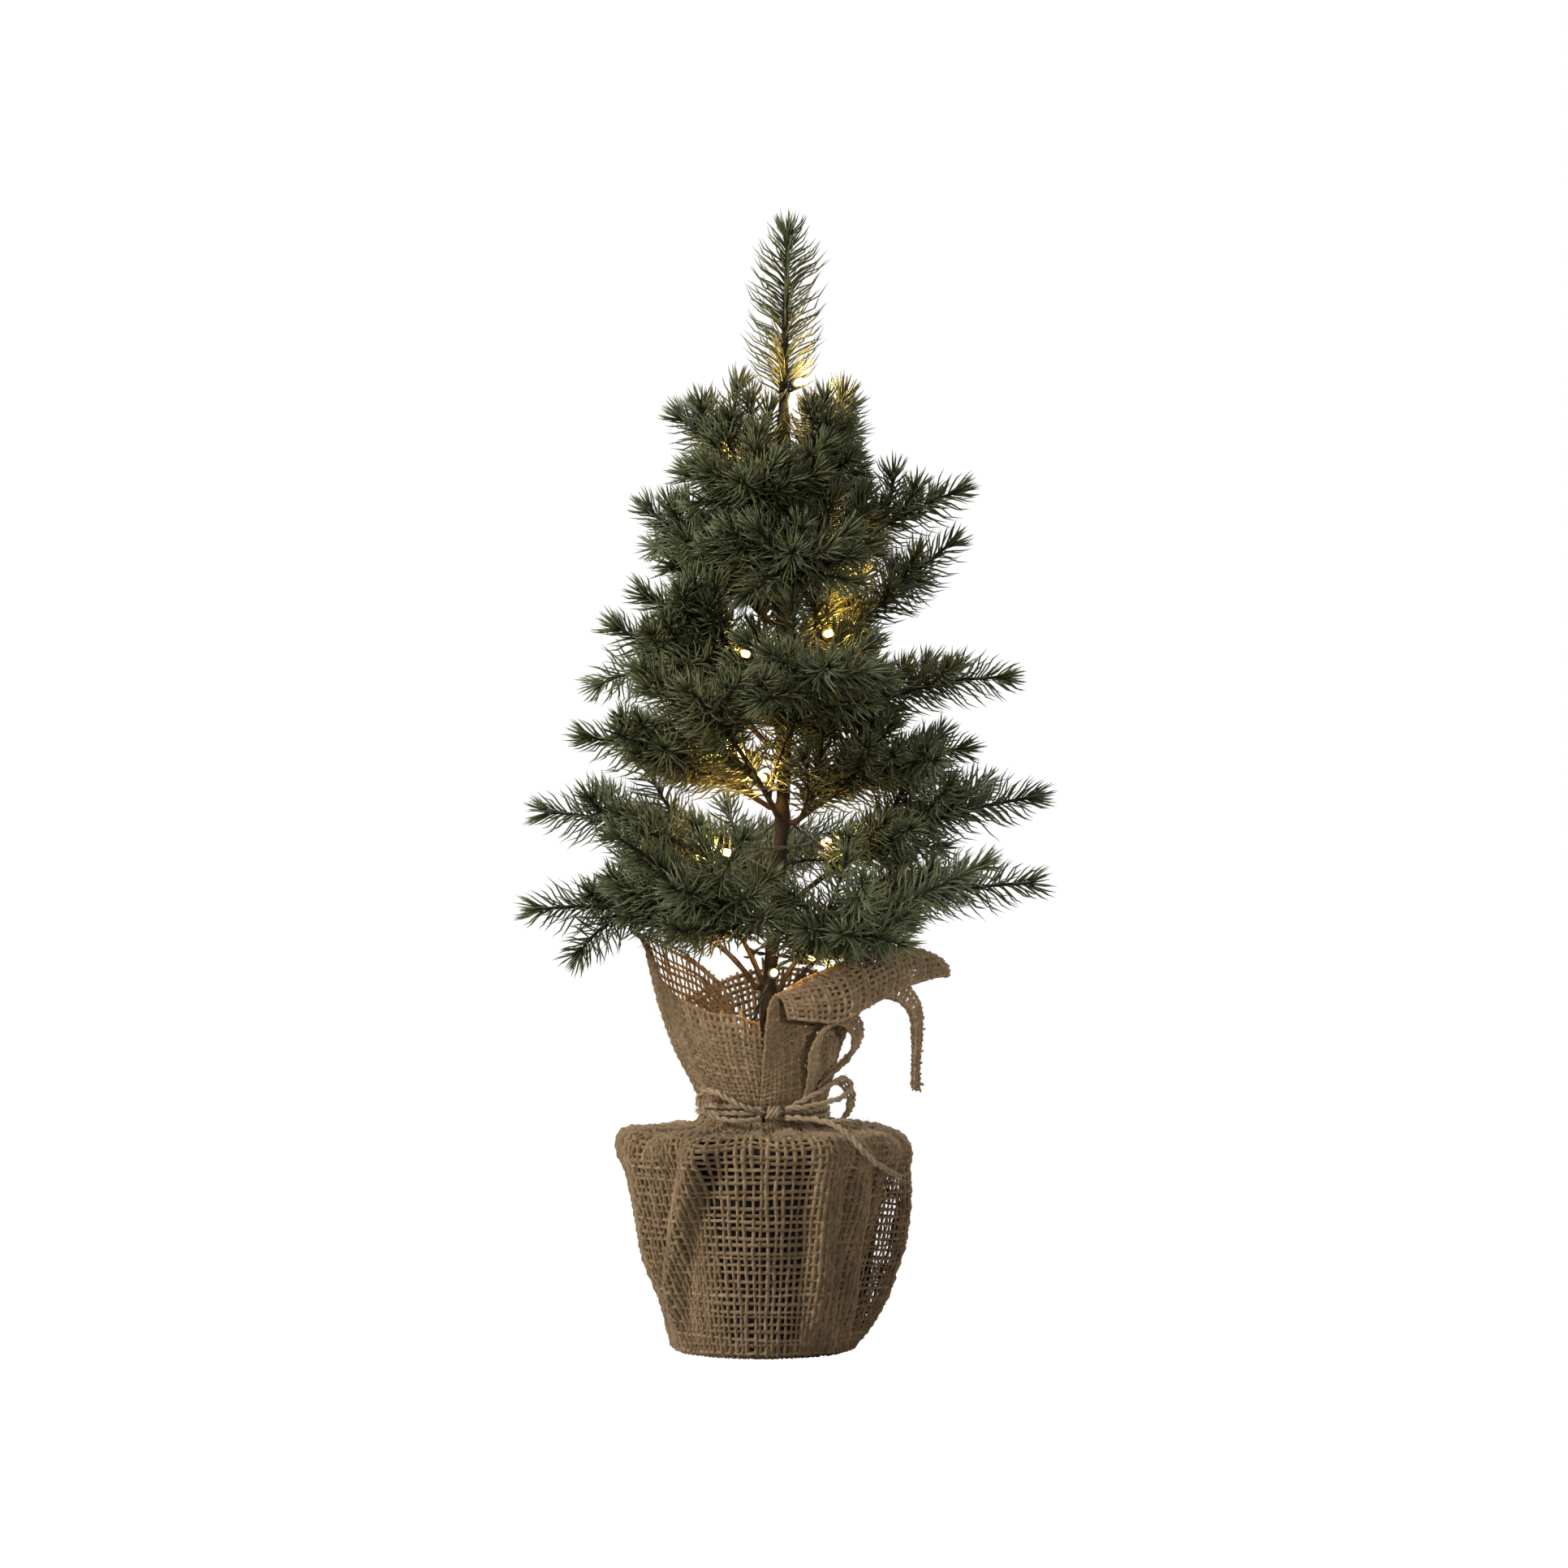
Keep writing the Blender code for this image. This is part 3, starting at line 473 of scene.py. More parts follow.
BOW = {
    "twine_loop_left": [(-1.0, -28.4, 1.4), (-6, -30.6, 2.2), (-13, -30.5, 5.6), (-20, -27.5, 9.0), (-24.8, -23.8, 6.8), (-23.6, -25.0, 1.6), (-18, -28.4, -1.6), (-10.5, -31.4, -2.6), (-4.6, -32.0, -2.4), (-1.0, -30.6, -1.6)],
    "twine_loop_right": [(8.9, -27.8, 1.5), (16, -28.4, 5.2), (25, -26.0, 10.2), (31, -21.8, 13.4), (34.4, -19.4, 11.0), (31.5, -24.0, 6.4), (19, -31.6, 3.2), (9.2, -31.0, 1.9)],
    "twine_tail_short": [(8.9, -27.8, -1.4), (15, -28.9, -2.6), (22, -29.4, -2.9), (29, -27.9, -3.1), (35, -23.4, -3.3), (38.5, -19.6, -4.6)],
    "twine_tail_long": [(8.8, -31.0, -1.5), (16, -33.6, -1.6), (25, -37, -2.8), (32, -42, -6.2), (38, -43.0, -12.6), (43.5, -39.4, -18.2), (49, -33.2, -22.0), (54.5, -26, -25.8)],
}
rng = np.random.default_rng(11)


def hairs(shape, points, outward, count, length, rng, radius=0.00005, mat=0, lean=0.6):
    """Loose fibres that stand off a yarn, each a thin curved spike."""
    pick = rng.integers(0, len(points), count)
    p = points[pick] + rng.normal(0, 0.00025, (count, 3))
    d = unit(outward[pick] + rng.normal(0, lean, (count, 3)))
    size = length * rng.uniform(0.35, 1.0, count)
    bend = unit(rng.normal(0, 1, (count, 3)))
    side = unit(np.cross(d, bend))
    up = np.cross(side, d)
    ring = []
    for f, r in ((0.0, 1.0), (0.5, 0.8)):
        centre = p + (d * f + bend * 0.45 * f * f) * size[:, None]
        for k in range(3):
            a = 2 * math.pi * k / 3
            ring.append(centre + radius * r * (math.cos(a) * side + math.sin(a) * up))
    ring.append(p + (d + bend * 0.45) * size[:, None])
    v = np.stack(ring, 1)
    one = [(0, 1, 4), (0, 4, 3), (1, 2, 5), (1, 5, 4), (2, 0, 3), (2, 3, 5), (3, 4, 6), (4, 5, 6), (5, 3, 6), (0, 2, 1)]
    t = (np.arange(count)[:, None, None] * 7 + np.array(one)[None]).reshape(-1, 3)
    tone = np.zeros((count, 7, 3))
    tone[:, :, 0] = rng.uniform(0.3, 1.0, count)[:, None]
    shape.add(v.reshape(-1, 3), None, t, tone.reshape(-1, 3), mat)


def rope(name, points, radius, rng, pitch=0.0072, fray=0.0, plies=2):
    """Twisted yarns laid along the points, with loose fibres; fray opens the last stretch."""
    p = np.asarray(points, float)
    total = along(p)[-1]
    n = max(12, int(total / 0.0007))
    p = resample(p, n)
    t, a, b = frames(p)
    s = along(p)
    shape = Shape()
    for ply in range(plies):
        turn = 2 * np.pi * (s / pitch + ply / plies) + 0.5 * np.sin(s / 0.011 + ply)
        open_up = 1 + 1.5 * np.clip((s - (total - fray)) / max(fray, 1e-9), 0, 1) ** 1.6 if fray else np.ones(n)
        off = radius * 0.50 * open_up
        thick = radius * (0.56 + 0.07 * np.sin(s / 0.0052 + 2.1 * ply) + 0.04 * rng.normal(0, 1, n).cumsum() / np.sqrt(np.arange(1, n + 1)))
        thick = thick * (1 - 0.6 * (open_up - 1) / 1.5) if fray else thick
        line = p + off[:, None] * (np.cos(turn)[:, None] * a + np.sin(turn)[:, None] * b)
        tube(shape, line, thick, 7, (rng.uniform(0.35, 0.8), 0, 0.0))
    ring = unit(rng.normal(0, 1, (n, 3)))
    ring = unit(ring - t * np.sum(ring * t, 1)[:, None])
    hairs(fluff, p + ring * radius * 0.8, ring + t * 0.8, int(total / 0.00045), 0.0026, rng)
    if fray:
        end = np.repeat(p[-3:], 10, 0)
        hairs(fluff, end, np.repeat(t[-3:], 10, 0), 34, 0.0055, rng, 0.00009, lean=0.28)
    obj = shape.object(name, [TWINE])
    return obj


fluff = Shape()
for cord_name, mm_points in BOW.items():
    line = catmull([(POT_X + x * MM, y * MM, NECK_Z + z * MM) for x, y, z in mm_points], 60)
    tail = "tail" in cord_name
    made = rope("bow_" + cord_name[6:], line, TWINE_R, rng, fray=0.006 if tail else 0.0)
    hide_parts(cord_name)
    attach(made, "root")

made = rope("tie_round_neck", tie_points(), TWINE_R, rng)
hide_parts("twine_wrap")
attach(made, "root")

knot_at = np.array((POT_X + 0.0040, -(tie_r + TWINE_R + GAP + 0.0019), NECK_Z))
turns = []
for k in range(140):
    f = k / 139
    a = 2 * math.pi * 2.8 * f + 0.6
    lean = 0.0009 * math.sin(a)
    turns.append(knot_at + np.array((-0.0021 + 0.0042 * f + lean, 0.0014 * math.cos(a) + 0.0003, 0.0019 * math.sin(a))))
made = rope("bow_knot", np.array(turns), TWINE_R * 0.92, rng)
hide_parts("twine_knot")
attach(made, "root")
made = fluff.object("twine_loose_fibres", [TWINE])
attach(made, "root")

# ================================================================ branches
BRANCHES = {
    "branch_01_top_left": (327, 62, (-48, -12, 372), [(0.36, (-32, 12, 379)), (0.34, (-15, -13, 387))]),
    "branch_02_top_right": (322, 66, (25, -9, 384), [(0.45, (30, 22, 364))]),
    "branch_03_top_front": (314, 48, (-19, -66, 340), [(0.40, (-42, -44, 330)), (0.42, (6, -52, 352))]),
    "branch_04_top_back": (316, 55, (12, 62, 356), [(0.42, (-24, 50, 350))]),
    "branch_05_upper_left": (287, 44, (-60, -9, 337), [(0.40, (-56, 24, 318))]),
    "branch_06_upper_right": (299, 44, (76, -12, 341), [(0.42, (42, -28, 350))]),
    "branch_07_low_upper_left": (254, 46, (-61, -34, 301), [(0.42, (-40, -52, 300))]),
    "branch_08_right_rising": (262, 48, (73, 12, 324), [(0.45, (58, 40, 306))]),
    "branch_09_upper_front": (290, 38, (4, -76, 312), [(0.40, (33, -58, 298)), (0.42, (-20, -66, 290))]),
    "branch_10_upper_back": (283, 46, (-10, 76, 318), [(0.42, (27, 66, 310))]),
    "branch_11_mid_left": (238, 46, (-73, -9, 289), [(0.45, (-80, 22, 260)), (0.40, (-52, 38, 276))]),
    "branch_12_mid_left_low": (214, 32, (-85, -26, 243), [(0.42, (-66, -54, 244))]),
    "branch_13_mid_right": (232, 50, (95, -6, 265), [(0.40, (66, 34, 270))]),
    "branch_14_mid_right_low": (208, 38, (77, -30, 238), [(0.42, (60, -60, 232))]),
    "branch_15_mid_front": (236, 44, (18, -88, 268), [(0.38, (46, -66, 264)), (0.40, (-14, -84, 252))]),
    "branch_16_mid_front_left": (211, 42, (-40, -82, 262), [(0.42, (-62, -56, 272))]),
    "branch_17_mid_back": (240, 44, (-22, 88, 276), [(0.42, (22, 84, 270))]),
    "branch_18_low_left": (182, 36, (-103, 0, 213), [(0.45, (-76, 46, 222))]),
    "branch_19_left_drooping": (143, 58, (-105, -24, 173), [(0.55, (-83, -42, 152))]),
    "branch_20_low_right": (176, 42, (106, -10, 219), [(0.42, (84, 36, 226))]),
    "branch_21_right_level": (136, 60, (106, 4, 184), [(0.45, (76, 54, 188))]),
    "branch_22_right_front": (139, 62, (50, -70, 160), [(0.45, (84, -46, 196)), (0.42, (30, -92, 190))]),
    "branch_23_left_front": (144, 54, (-46, -80, 184), [(0.42, (-72, -62, 208)), (0.42, (-12, -98, 206))]),
    "branch_24_low_back": (164, 50, (-36, 96, 200), [(0.40, (40, 98, 204)), (0.42, (-78, 70, 178))]),
}
BARE = {"branch_19_left_drooping": 0.030, "branch_21_right_level": 0.034, "branch_22_right_front": 0.030, "branch_23_left_front": 0.030, "branch_24_low_back": 0.024, "branch_20_low_right": 0.020}


def bezier(p0, p1, p2, t):
    t = np.asarray(t, float)[..., None]
    return p0 * (1 - t) ** 2 + p1 * (2 * t * (1 - t)) + p2 * t * t


def branch_paths(name):
    height, rise, tip, sides = BRANCHES[name]
    z0 = height * MM
    centre = np.array((trunk_x(z0), 0, z0))
    tip = np.array(tip) * MM
    out = unit(np.array((tip[0] - centre[0], tip[1], 0)))
    p0 = centre + out * (WRAP_R + GAP + 0.0024)
    reach = np.linalg.norm(tip - p0)
    up = math.radians(rise)
    aim = out * math.cos(up) + np.array((0, 0, math.sin(up)))
    p1 = p0 + aim * reach * 0.48
    start = centre + out * (WRAP_R + GAP)
    main = np.vstack([start, bezier(p0, p1, tip, np.linspace(0, 1, 40))])
    ways = []
    for share, end in sides:
        end = np.array(end) * MM
        s0 = bezier(p0, p1, tip, share)
        ahead = unit(bezier(p0, p1, tip, share + 0.03) - s0)
        far = np.linalg.norm(end - s0)
        ways.append(bezier(s0, s0 + ahead * far * 0.38, end, np.linspace(0, 1, 30)))
    return main, ways, out


def cut(p, short):
    """The line without its last stretch."""
    s = along(p)
    end = max(s[-1] - short, s[-1] * 0.4)
    n = max(8, int(end / 0.0012))
    want = np.linspace(0, end, n)
    return np.stack([np.interp(want, s, p[:, k]) for k in range(3)], 1)


LIGHTS = [(149.0, -84, 13.0), (154.5, -24, 15.5), (157.0, 224, 14.0), (196.0, 553, 20.5), (200.0, 684, 20.5), (225.5, 955, 13.5), (235.0, 1292, 18.5), (274.0, 1662, 19.0), (282.0, 1766, 20.0), (309.0, 2128, 19.0), (351.0, 2374, 17.0), (381.0, 2470, 8.0)]


def on_trunk(z, turn, r):
    a = math.radians(turn)
    return np.array((trunk_x(z) + r * math.cos(a), r * math.sin(a), z))


def lamp_at(z, turn, r):
    return on_trunk(z * MM, turn, r * MM)


# the lamps that show between the sprigs from the front, where the needles are parted round them
CLEAR = [lamp_at(*LIGHTS[k]) for k in (0, 2, 3, 5, 6, 7, 8)]
FRONT = np.array((0.0, -2.0, 0.2232))


def hides_lamp(p, gap):
    """Which of the points stand in front of one of those lamps."""
    found = np.zeros(p.shape[:-1], bool)
    for lamp in CLEAR:
        way = unit(FRONT - lamp)
        rel = p - lamp
        ahead = rel @ way
        off = np.linalg.norm(rel - ahead[..., None] * way, axis=-1)
        found |= (off < gap) & (ahead > -0.001)
    return found


def brush(shape, p, start, rng, gap=0.00048, longest=0.0166, tip_length=0.0106, hue=0.5):
    """Needles all round the line of points from start on: they stand off it, lean forward and close up to a brush at the tip."""
    t, a, b = frames(p)
    s = along(p)
    total = s[-1]
    count = max(20, int((total - start) / gap))
    at = start + (total - start) * (np.arange(count) + rng.uniform(-0.4, 0.4, count)) / count
    at = np.clip(at, 0, total)
    to_tip = total - at
    extra = 16
    at = np.concatenate([at, total - rng.uniform(0, 0.0022, extra)])
    to_tip = total - at
    count = len(at)
    turn = np.arange(count) * 2.399963 + rng.normal(0, 0.22, count)

    def get(f):
        return np.stack([np.interp(at, s, f[:, k]) for k in range(3)], 1)

    base, ahead, u = get(p), unit(get(t)), get(a)
    u = unit(u - ahead * np.sum(u * ahead, 1)[:, None])
    w = np.cross(ahead, u)
    radial = np.cos(turn)[:, None] * u + np.sin(turn)[:, None] * w
    close = smoothstep(to_tip / 0.013)
    first = np.radians(30 + 22 * close + rng.normal(0, 6, count))
    middle = np.radians(34 + 29 * close + rng.normal(0, 6, count))
    last = np.radians(24 + 18 * close + rng.normal(0, 9, count))
    first[-extra:] = np.radians(rng.uniform(4, 42, extra))
    middle[-extra:] = first[-extra:] * 1.05
    last[-extra:] = first[-extra:] * 0.8
    angles = (first, middle, last)
    size = (tip_length + (longest - tip_length) * smoothstep(to_tip / 0.024)) * rng.uniform(0.82, 1.10, count)
    young = smoothstep((at - start + 0.004) / 0.012)
    size *= 0.62 + 0.38 * young
    side = unit(np.cross(radial, ahead))
    sweep = rng.normal(0, 0.10, count)[:, None] * side
    lift = np.array((0, 0, 1.0)) * rng.normal(0.03, 0.04, count)[:, None]
    base = base + radial * 0.0007
    steps = 3
    point = base.copy()
    rings = []
    rad = 0.00043 * rng.uniform(0.85, 1.15, count)
    for k in range(steps):
        f = k / steps
        angle = angles[k]
        d = unit(np.cos(angle)[:, None] * ahead + np.sin(angle)[:, None] * radial + sweep * (0.5 + f) + lift * f)
        s1 = unit(np.cross(d, side))
        s2 = np.cross(d, s1)
        r = rad * (0.80, 1.0, 0.84)[k]
        for j in range(3):
            c = 2 * math.pi * j / 3
            rings.append(point + r[:, None] * (math.cos(c) * s1 + math.sin(c) * s2))
        point = point + d * (size / steps)[:, None]
    rings.append(point)
    v = np.stack(rings, 1)
    kept = ~hides_lamp(v, 0.0024).any(1)
    v, count = v[kept], int(kept.sum())
    if not count:
        return
    one = []
    for k in range(steps - 1):
        for j in range(3):
            j2 = (j + 1) % 3
            one += [(k * 3 + j, k * 3 + j2, k * 3 + 3 + j2), (k * 3 + j, k * 3 + 3 + j2, k * 3 + 3 + j)]
    for j in range(3):
        one.append(((steps - 1) * 3 + j, (steps - 1) * 3 + (j + 1) % 3, steps * 3))
    one.append((0, 2, 1))
    per = steps * 3 + 1
    tris = (np.arange(count)[:, None, None] * per + np.array(one)[None]).reshape(-1, 3)
    tone = np.zeros((count, per, 3))
    tone[:, :, 0] = np.clip(rng.normal(0.45, 0.22, count), 0, 1)[:, None]
    tone[:, :, 1] = np.repeat(np.arange(steps + 1) / steps, [3] * steps + [1])[None]
    tone[:, :, 2] = np.clip(hue + rng.normal(0, 0.15, count), 0, 1)[:, None]
    shape.add(v.reshape(-1, 3), None, tris, tone.reshape(-1, 3), 0)


def stem(shape, p, thick, thin, start_at=0.0):
    n = len(p)
    f = np.linspace(0, 1, n)
    wobble = 1 + 0.06 * np.sin(along(p) / 0.0011)
    tube(shape, p, (thick + (thin - thick) * f) * wobble, 7, (0.5, 0, 0.5), 1)


SHORT = 0.0086
# (start along the branch, outward, sideways, up, length) of the inner twigs
INNER_HIGH = [(0.008, 0.50, 0.46, 0.0, 1.05, 0.050), (0.010, 0.50, -0.50, 0.0, 0.95, 0.050), (0.016, 0.65, 0.10, 0.0, 1.15, 0.050), (0.022, 0.85, -0.42, 0.0, 0.20, 0.044), (0.007, 0.25, 0.0, 0.70, 1.10, 0.048), (0.012, 0.40, 0.0, 0.60, 0.65, 0.046), (0.004, 0.05, 0.25, 0.8, 0.85, 0.044), (0.018, 0.70, 0.55, 0.2, 0.55, 0.046)]
INNER_LOW = [(0.022, 0.60, 0.70, 0.0, 0.45, 0.046), (0.025, 0.62, -0.72, 0.0, 0.40, 0.046), (0.030, 0.70, 0.05, 0.0, 0.85, 0.046), (0.020, 0.30, 0.0, 1.0, 0.45, 0.044), (0.034, 0.70, -0.50, 0.0, 0.10, 0.042), (0.028, 0.45, 0.45, 0.8, 0.15, 0.042)]
CORE_Z = (150, 157, 176, 198, 227, 246, 268, 290, 310, 341, 365, 388)
CORE_LEFT = (-24, -34, -78, -66, -66, -70, -70, -46, -53, -45, -27, -17)
CORE_RIGHT = (34, 46, 60, 72, 72, 54, 41, 34, 42, 37, 29, 24)
CORE_DEPTH = (60, 70, 92, 92, 90, 84, 78, 72, 66, 54, 40, 26)


def in_core(p):
    """Whether a short twig's end stays inside the tree's closed middle, where the long sprigs stand out from it."""
    z = p[2] / MM
    left, right, deep = (np.interp(z, CORE_Z, c) for c in (CORE_LEFT, CORE_RIGHT, CORE_DEPTH))
    return left + 7 < p[0] / MM < right - 7 and abs(p[1]) / MM < deep - 6 and 152 < z < 384


for number, name in enumerate(BRANCHES, 1):
    rng = np.random.default_rng(100 + number)
    main, ways, out = branch_paths(name)
    shape = Shape()
    bare = BARE.get(name, 0.014)
    hue = float(rng.uniform(0.15, 0.85))
    line = cut(main, SHORT)
    stem(shape, line, 0.00115, 0.00065)
    brush(shape, line, bare, rng, hue=hue)
    spread = [cut(w, SHORT) for w in ways]
    for w in spread:
        stem(shape, w, 0.0009, 0.0006)
        brush(shape, w, 0.003, rng, hue=hue)
    # short twigs between them
    ahead = tangents(line)
    s = along(line)
    level = unit(np.cross(out, (0, 0, 1.0)))
    for k, (share, hand) in enumerate(((0.28, 1), (0.36, -1), (0.46, 1), (0.54, -1), (0.62, 1), (0.68, -1))):
        i = int(np.searchsorted(s, max(s[-1] * share, bare + 0.004)))
        i = min(i, len(line) - 4)
        go = unit(ahead[i] * 0.70 + level * hand * rng.uniform(0.62, 0.85) + np.array((0, 0, 1.0)) * rng.uniform(-0.20, 0.30))
        far = min(float(rng.uniform(0.034, 0.048)), (s[-1] - s[i]) * 0.95)
        while far > 0.018 and not in_core(line[i] + go * far):
            far *= 0.9
        end = line[i] + go * far + np.array((0, 0, 1.0)) * 0.004
        twig = bezier(line[i], line[i] + unit(ahead[i] + go) * far * 0.45, end, np.linspace(0, 1, 24))
        if np.any(np.linalg.norm(end[:2]) > 0.104):
            continue
        if hides_lamp(twig, 0.003).any():
            continue
        stem(shape, twig, 0.0008, 0.0006)
        brush(shape, twig, 0.003, rng, hue=hue, longest=0.0156)
    # and inner twigs close to the trunk, which sweep up round it
    inner = INNER_HIGH if BRANCHES[name][0] > 185 else INNER_LOW
    face = -1.0 if out[1] < 0.45 else 1.0
    for k, (near, ahead_by, hand, front, rise_by, far) in enumerate(inner):
        i = int(np.searchsorted(s, near))
        toward = -face if k == 5 and number % 2 == 0 else face
        go = unit(out * ahead_by + level * hand + np.array((0, 1.0, 0)) * front * toward + np.array((0, 0, 1.0)) * rise_by + rng.normal(0, 0.10, 3))
        far = far * float(rng.uniform(0.88, 1.12))
        while far > 0.018 and not in_core(line[i] + go * far):
            far *= 0.9
        end = line[i] + go * far
        twig = bezier(line[i], line[i] + unit(ahead[i] * 0.6 + go) * far * 0.42, end, np.linspace(0, 1, 30))
        if hides_lamp(twig, 0.003).any():
            continue
        stem(shape, twig, 0.0008, 0.0006)
        brush(shape, twig, 0.005, rng, hue=hue, longest=0.0156)
    made = shape.object("sprigs_" + name[7:], [NEEDLE, STEM])
    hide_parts(name)
    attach(made, name)

shape = Shape()
rng = np.random.default_rng(99)
line = catmull([(trunk_x(z), 0.0, z) for z in (0.3690, 0.374, 0.380, 0.388, 0.396, 0.408, 0.420, 0.430, 0.4405)], 70)
stem(shape, line, 0.0021, 0.0007)
brush(shape, line, 0.007, rng, gap=0.00030, longest=0.0204, tip_length=0.0108, hue=0.2)
made = shape.object("sprig_leader", [NEEDLE, STEM])
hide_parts("leader_sprig")
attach(made, "leader")

# ================================================================ trunk
lo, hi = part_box("trunk_wrap")
shape = Shape()
zs = np.linspace(lo.z, hi.z, 420)
centre = np.stack([trunk_x(zs), 0 * zs, zs], 1)
turn = np.linspace(0, 2 * np.pi, 20, endpoint=False)
ridge = 0.00016 * np.abs(((zs[:, None] / 0.0046 + turn[None] / (2 * np.pi)) % 1.0) - 0.5) * 2
knobs = np.zeros((len(zs), len(turn)))
for height, rise, tip, _ in BRANCHES.values():
    a = math.atan2(tip[1], tip[0])
    near = np.exp(-(((zs - height * MM) / 0.0028) ** 2))[:, None] * (0.5 + 0.5 * np.cos(turn - a))[None] ** 2
    knobs += 0.0006 * near
wave = 0.00012 * np.sin(zs[:, None] * 900 + 3 * turn[None]) + 0.0001 * np.sin(zs[:, None] * 370 - 2 * turn[None])
radius = 0.00262 + ridge + knobs + wave
v = centre[:, None] + radius[..., None] * np.stack([np.cos(turn), np.sin(turn), 0 * turn], 1)[None]
n, m = radius.shape
i = np.arange(n - 1)[:, None] * m
j = np.arange(m)[None]
k = (j + 1) % m
q = np.stack([i + j, i + k, i + m + k, i + m + j], -1).reshape(-1, 4)
v = np.vstack([v.reshape(-1, 3), centre[0], centre[-1]])
j, k = j.ravel(), k.ravel()
caps = np.concatenate([np.stack([np.full(m, n * m), k, j], 1), np.stack([np.full(m, n * m + 1), (n - 1) * m + j, (n - 1) * m + k], 1)])
shape.add(v, q, caps, (0.5, 0.5, 0.5))
made = shape.object("taped_trunk", [TRUNK])
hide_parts("trunk_wrap")
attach(made, "root")

# ================================================================ light string
def string_route():
    route = [np.array((*CHANNEL, 0.0150)), np.array((*CHANNEL, 0.045)), np.array((*CHANNEL, 0.0695))]
    route += [np.array((POT_X + 0.011, 0.012, 0.0800)), on_trunk(0.0930, -330, HELIX_R + 0.0012), on_trunk(0.108, -250, HELIX_R), on_trunk(0.122, -170, HELIX_R)]
    last = (122.0, -170.0)
    for z, turn, r in LIGHTS:
        z0, t0 = last
        span = turn - t0
        steps = max(1, round(span / 62))
        for k in range(1, steps):
            f = k / steps
            route.append(on_trunk((z0 + (z - z0) * f) * MM, t0 + span * f, HELIX_R))
        route.append(on_trunk(z * MM, turn, r * MM - BULB_BACK - WIRE_R - GAP))
        last = (z, turn)
    return route


line = catmull(string_route(), 700)
t, a, b = frames(line)
s = along(line)
shape = Shape()
for ply in range(2):
    turn = 2 * np.pi * (s / 0.011 + ply / 2)
    tube(shape, line + 0.00042 * (np.cos(turn)[:, None] * a + np.sin(turn)[:, None] * b), 0.00040, 6)
made = shape.object("twisted_light_wire", [WIRE])
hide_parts("light_wire")
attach(made, "root")


def lathe(shape, profile, at, aim, around=18, mat=0):
    """A closed turned form from (radius, distance along aim) points."""
    profile = np.array(profile)
    turn = np.linspace(0, 2 * np.pi, around, endpoint=False)
    side = unit(np.cross(aim, (0.3, 0.1, 1.0)))
    up = np.cross(side, aim)
    v = at + profile[:, 1][:, None, None] * aim + profile[:, 0][:, None, None] * (np.cos(turn)[None, :, None] * side + np.sin(turn)[None, :, None] * up)
    n, m = len(profile), around
    i = np.arange(n - 1)[:, None] * m
    j = np.arange(m)[None]
    k = (j + 1) % m
    q = np.stack([i + j, i + k, i + m + k, i + m + j], -1).reshape(-1, 4)
    shape.add(v.reshape(-1, 3), q, None, (0.5, 0.5, 0.5), mat)


for number, (z, turn, r) in enumerate(LIGHTS, 1):
    at = on_trunk(z * MM, turn, r * MM)
    a = math.radians(turn)
    aim = unit(np.array((math.cos(a), math.sin(a), 0.2)))
    shape = Shape()
    dome = [(0.00002, -0.0008), (0.0012, -0.0008), (0.00145, 0.0002), (0.00148, 0.0016), (0.00138, 0.0025), (0.00105, 0.0033), (0.00055, 0.0038), (0.00002, 0.0040)]
    lathe(shape, dome, at, aim, mat=0)
    back = [(0.00002, -BULB_BACK), (0.0012, -BULB_BACK), (0.0019, -BULB_BACK + 0.0004), (0.0021, -0.0014), (0.0023, -0.0012), (0.0023, -0.0003), (0.0019, -0.0001), (0.00002, -0.0001)]
    lathe(shape, back, at, aim, mat=1)
    made = shape.object(f"bulb_and_holder_{number:02d}", [GLOW, HOLDER])
    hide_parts(f"led_bulb_{number:02d}")
    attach(made, "root")
    data = bpy.data.lights.new(f"glow_{number:02d}", "POINT")
    data.energy, data.color, data.shadow_soft_size = 0.026 if number in (1, 2, 3, 5) else 0.075, (1.0, 0.58, 0.16), 0.0015
    lamp = bpy.data.objects.new(f"glow_{number:02d}", data)
    scene.collection.objects.link(lamp)
    lamp.location = at + aim * 0.0084

# ================================================================ burlap
PITCH = 0.0030
YARN_R = 0.00078


def bilinear(grid, i, j, wrap=False):
    """Values of the grid at fractional rows i and columns j."""
    rows, cols = grid.shape[:2]
    i = np.clip(i, 0, rows - 1.0001)
    i0 = np.floor(i).astype(int)
    fi = (i - i0)[..., None]
    if wrap:
        j = np.mod(j, cols)
        j0 = np.floor(j).astype(int)
        j1 = (j0 + 1) % cols
        fj = (j - j0)[..., None]
        j0 = j0 % cols
    else:
        j = np.clip(j, 0, cols - 1.0001)
        j0 = np.floor(j).astype(int)
        j1 = j0 + 1
        fj = (j - j0)[..., None]
    return (grid[i0, j0] * (1 - fi) + grid[i0 + 1, j0] * fi) * (1 - fj) + (grid[i0, j1] * (1 - fi) + grid[i0 + 1, j1] * fi) * fj


def normals_of(grid, wrap=False):
    down = np.gradient(grid, axis=0)
    if wrap:
        across = (np.roll(grid, -1, 1) - np.roll(grid, 1, 1)) / 2
    else:
        across = np.gradient(grid, axis=1)
    return unit(np.cross(across, down))


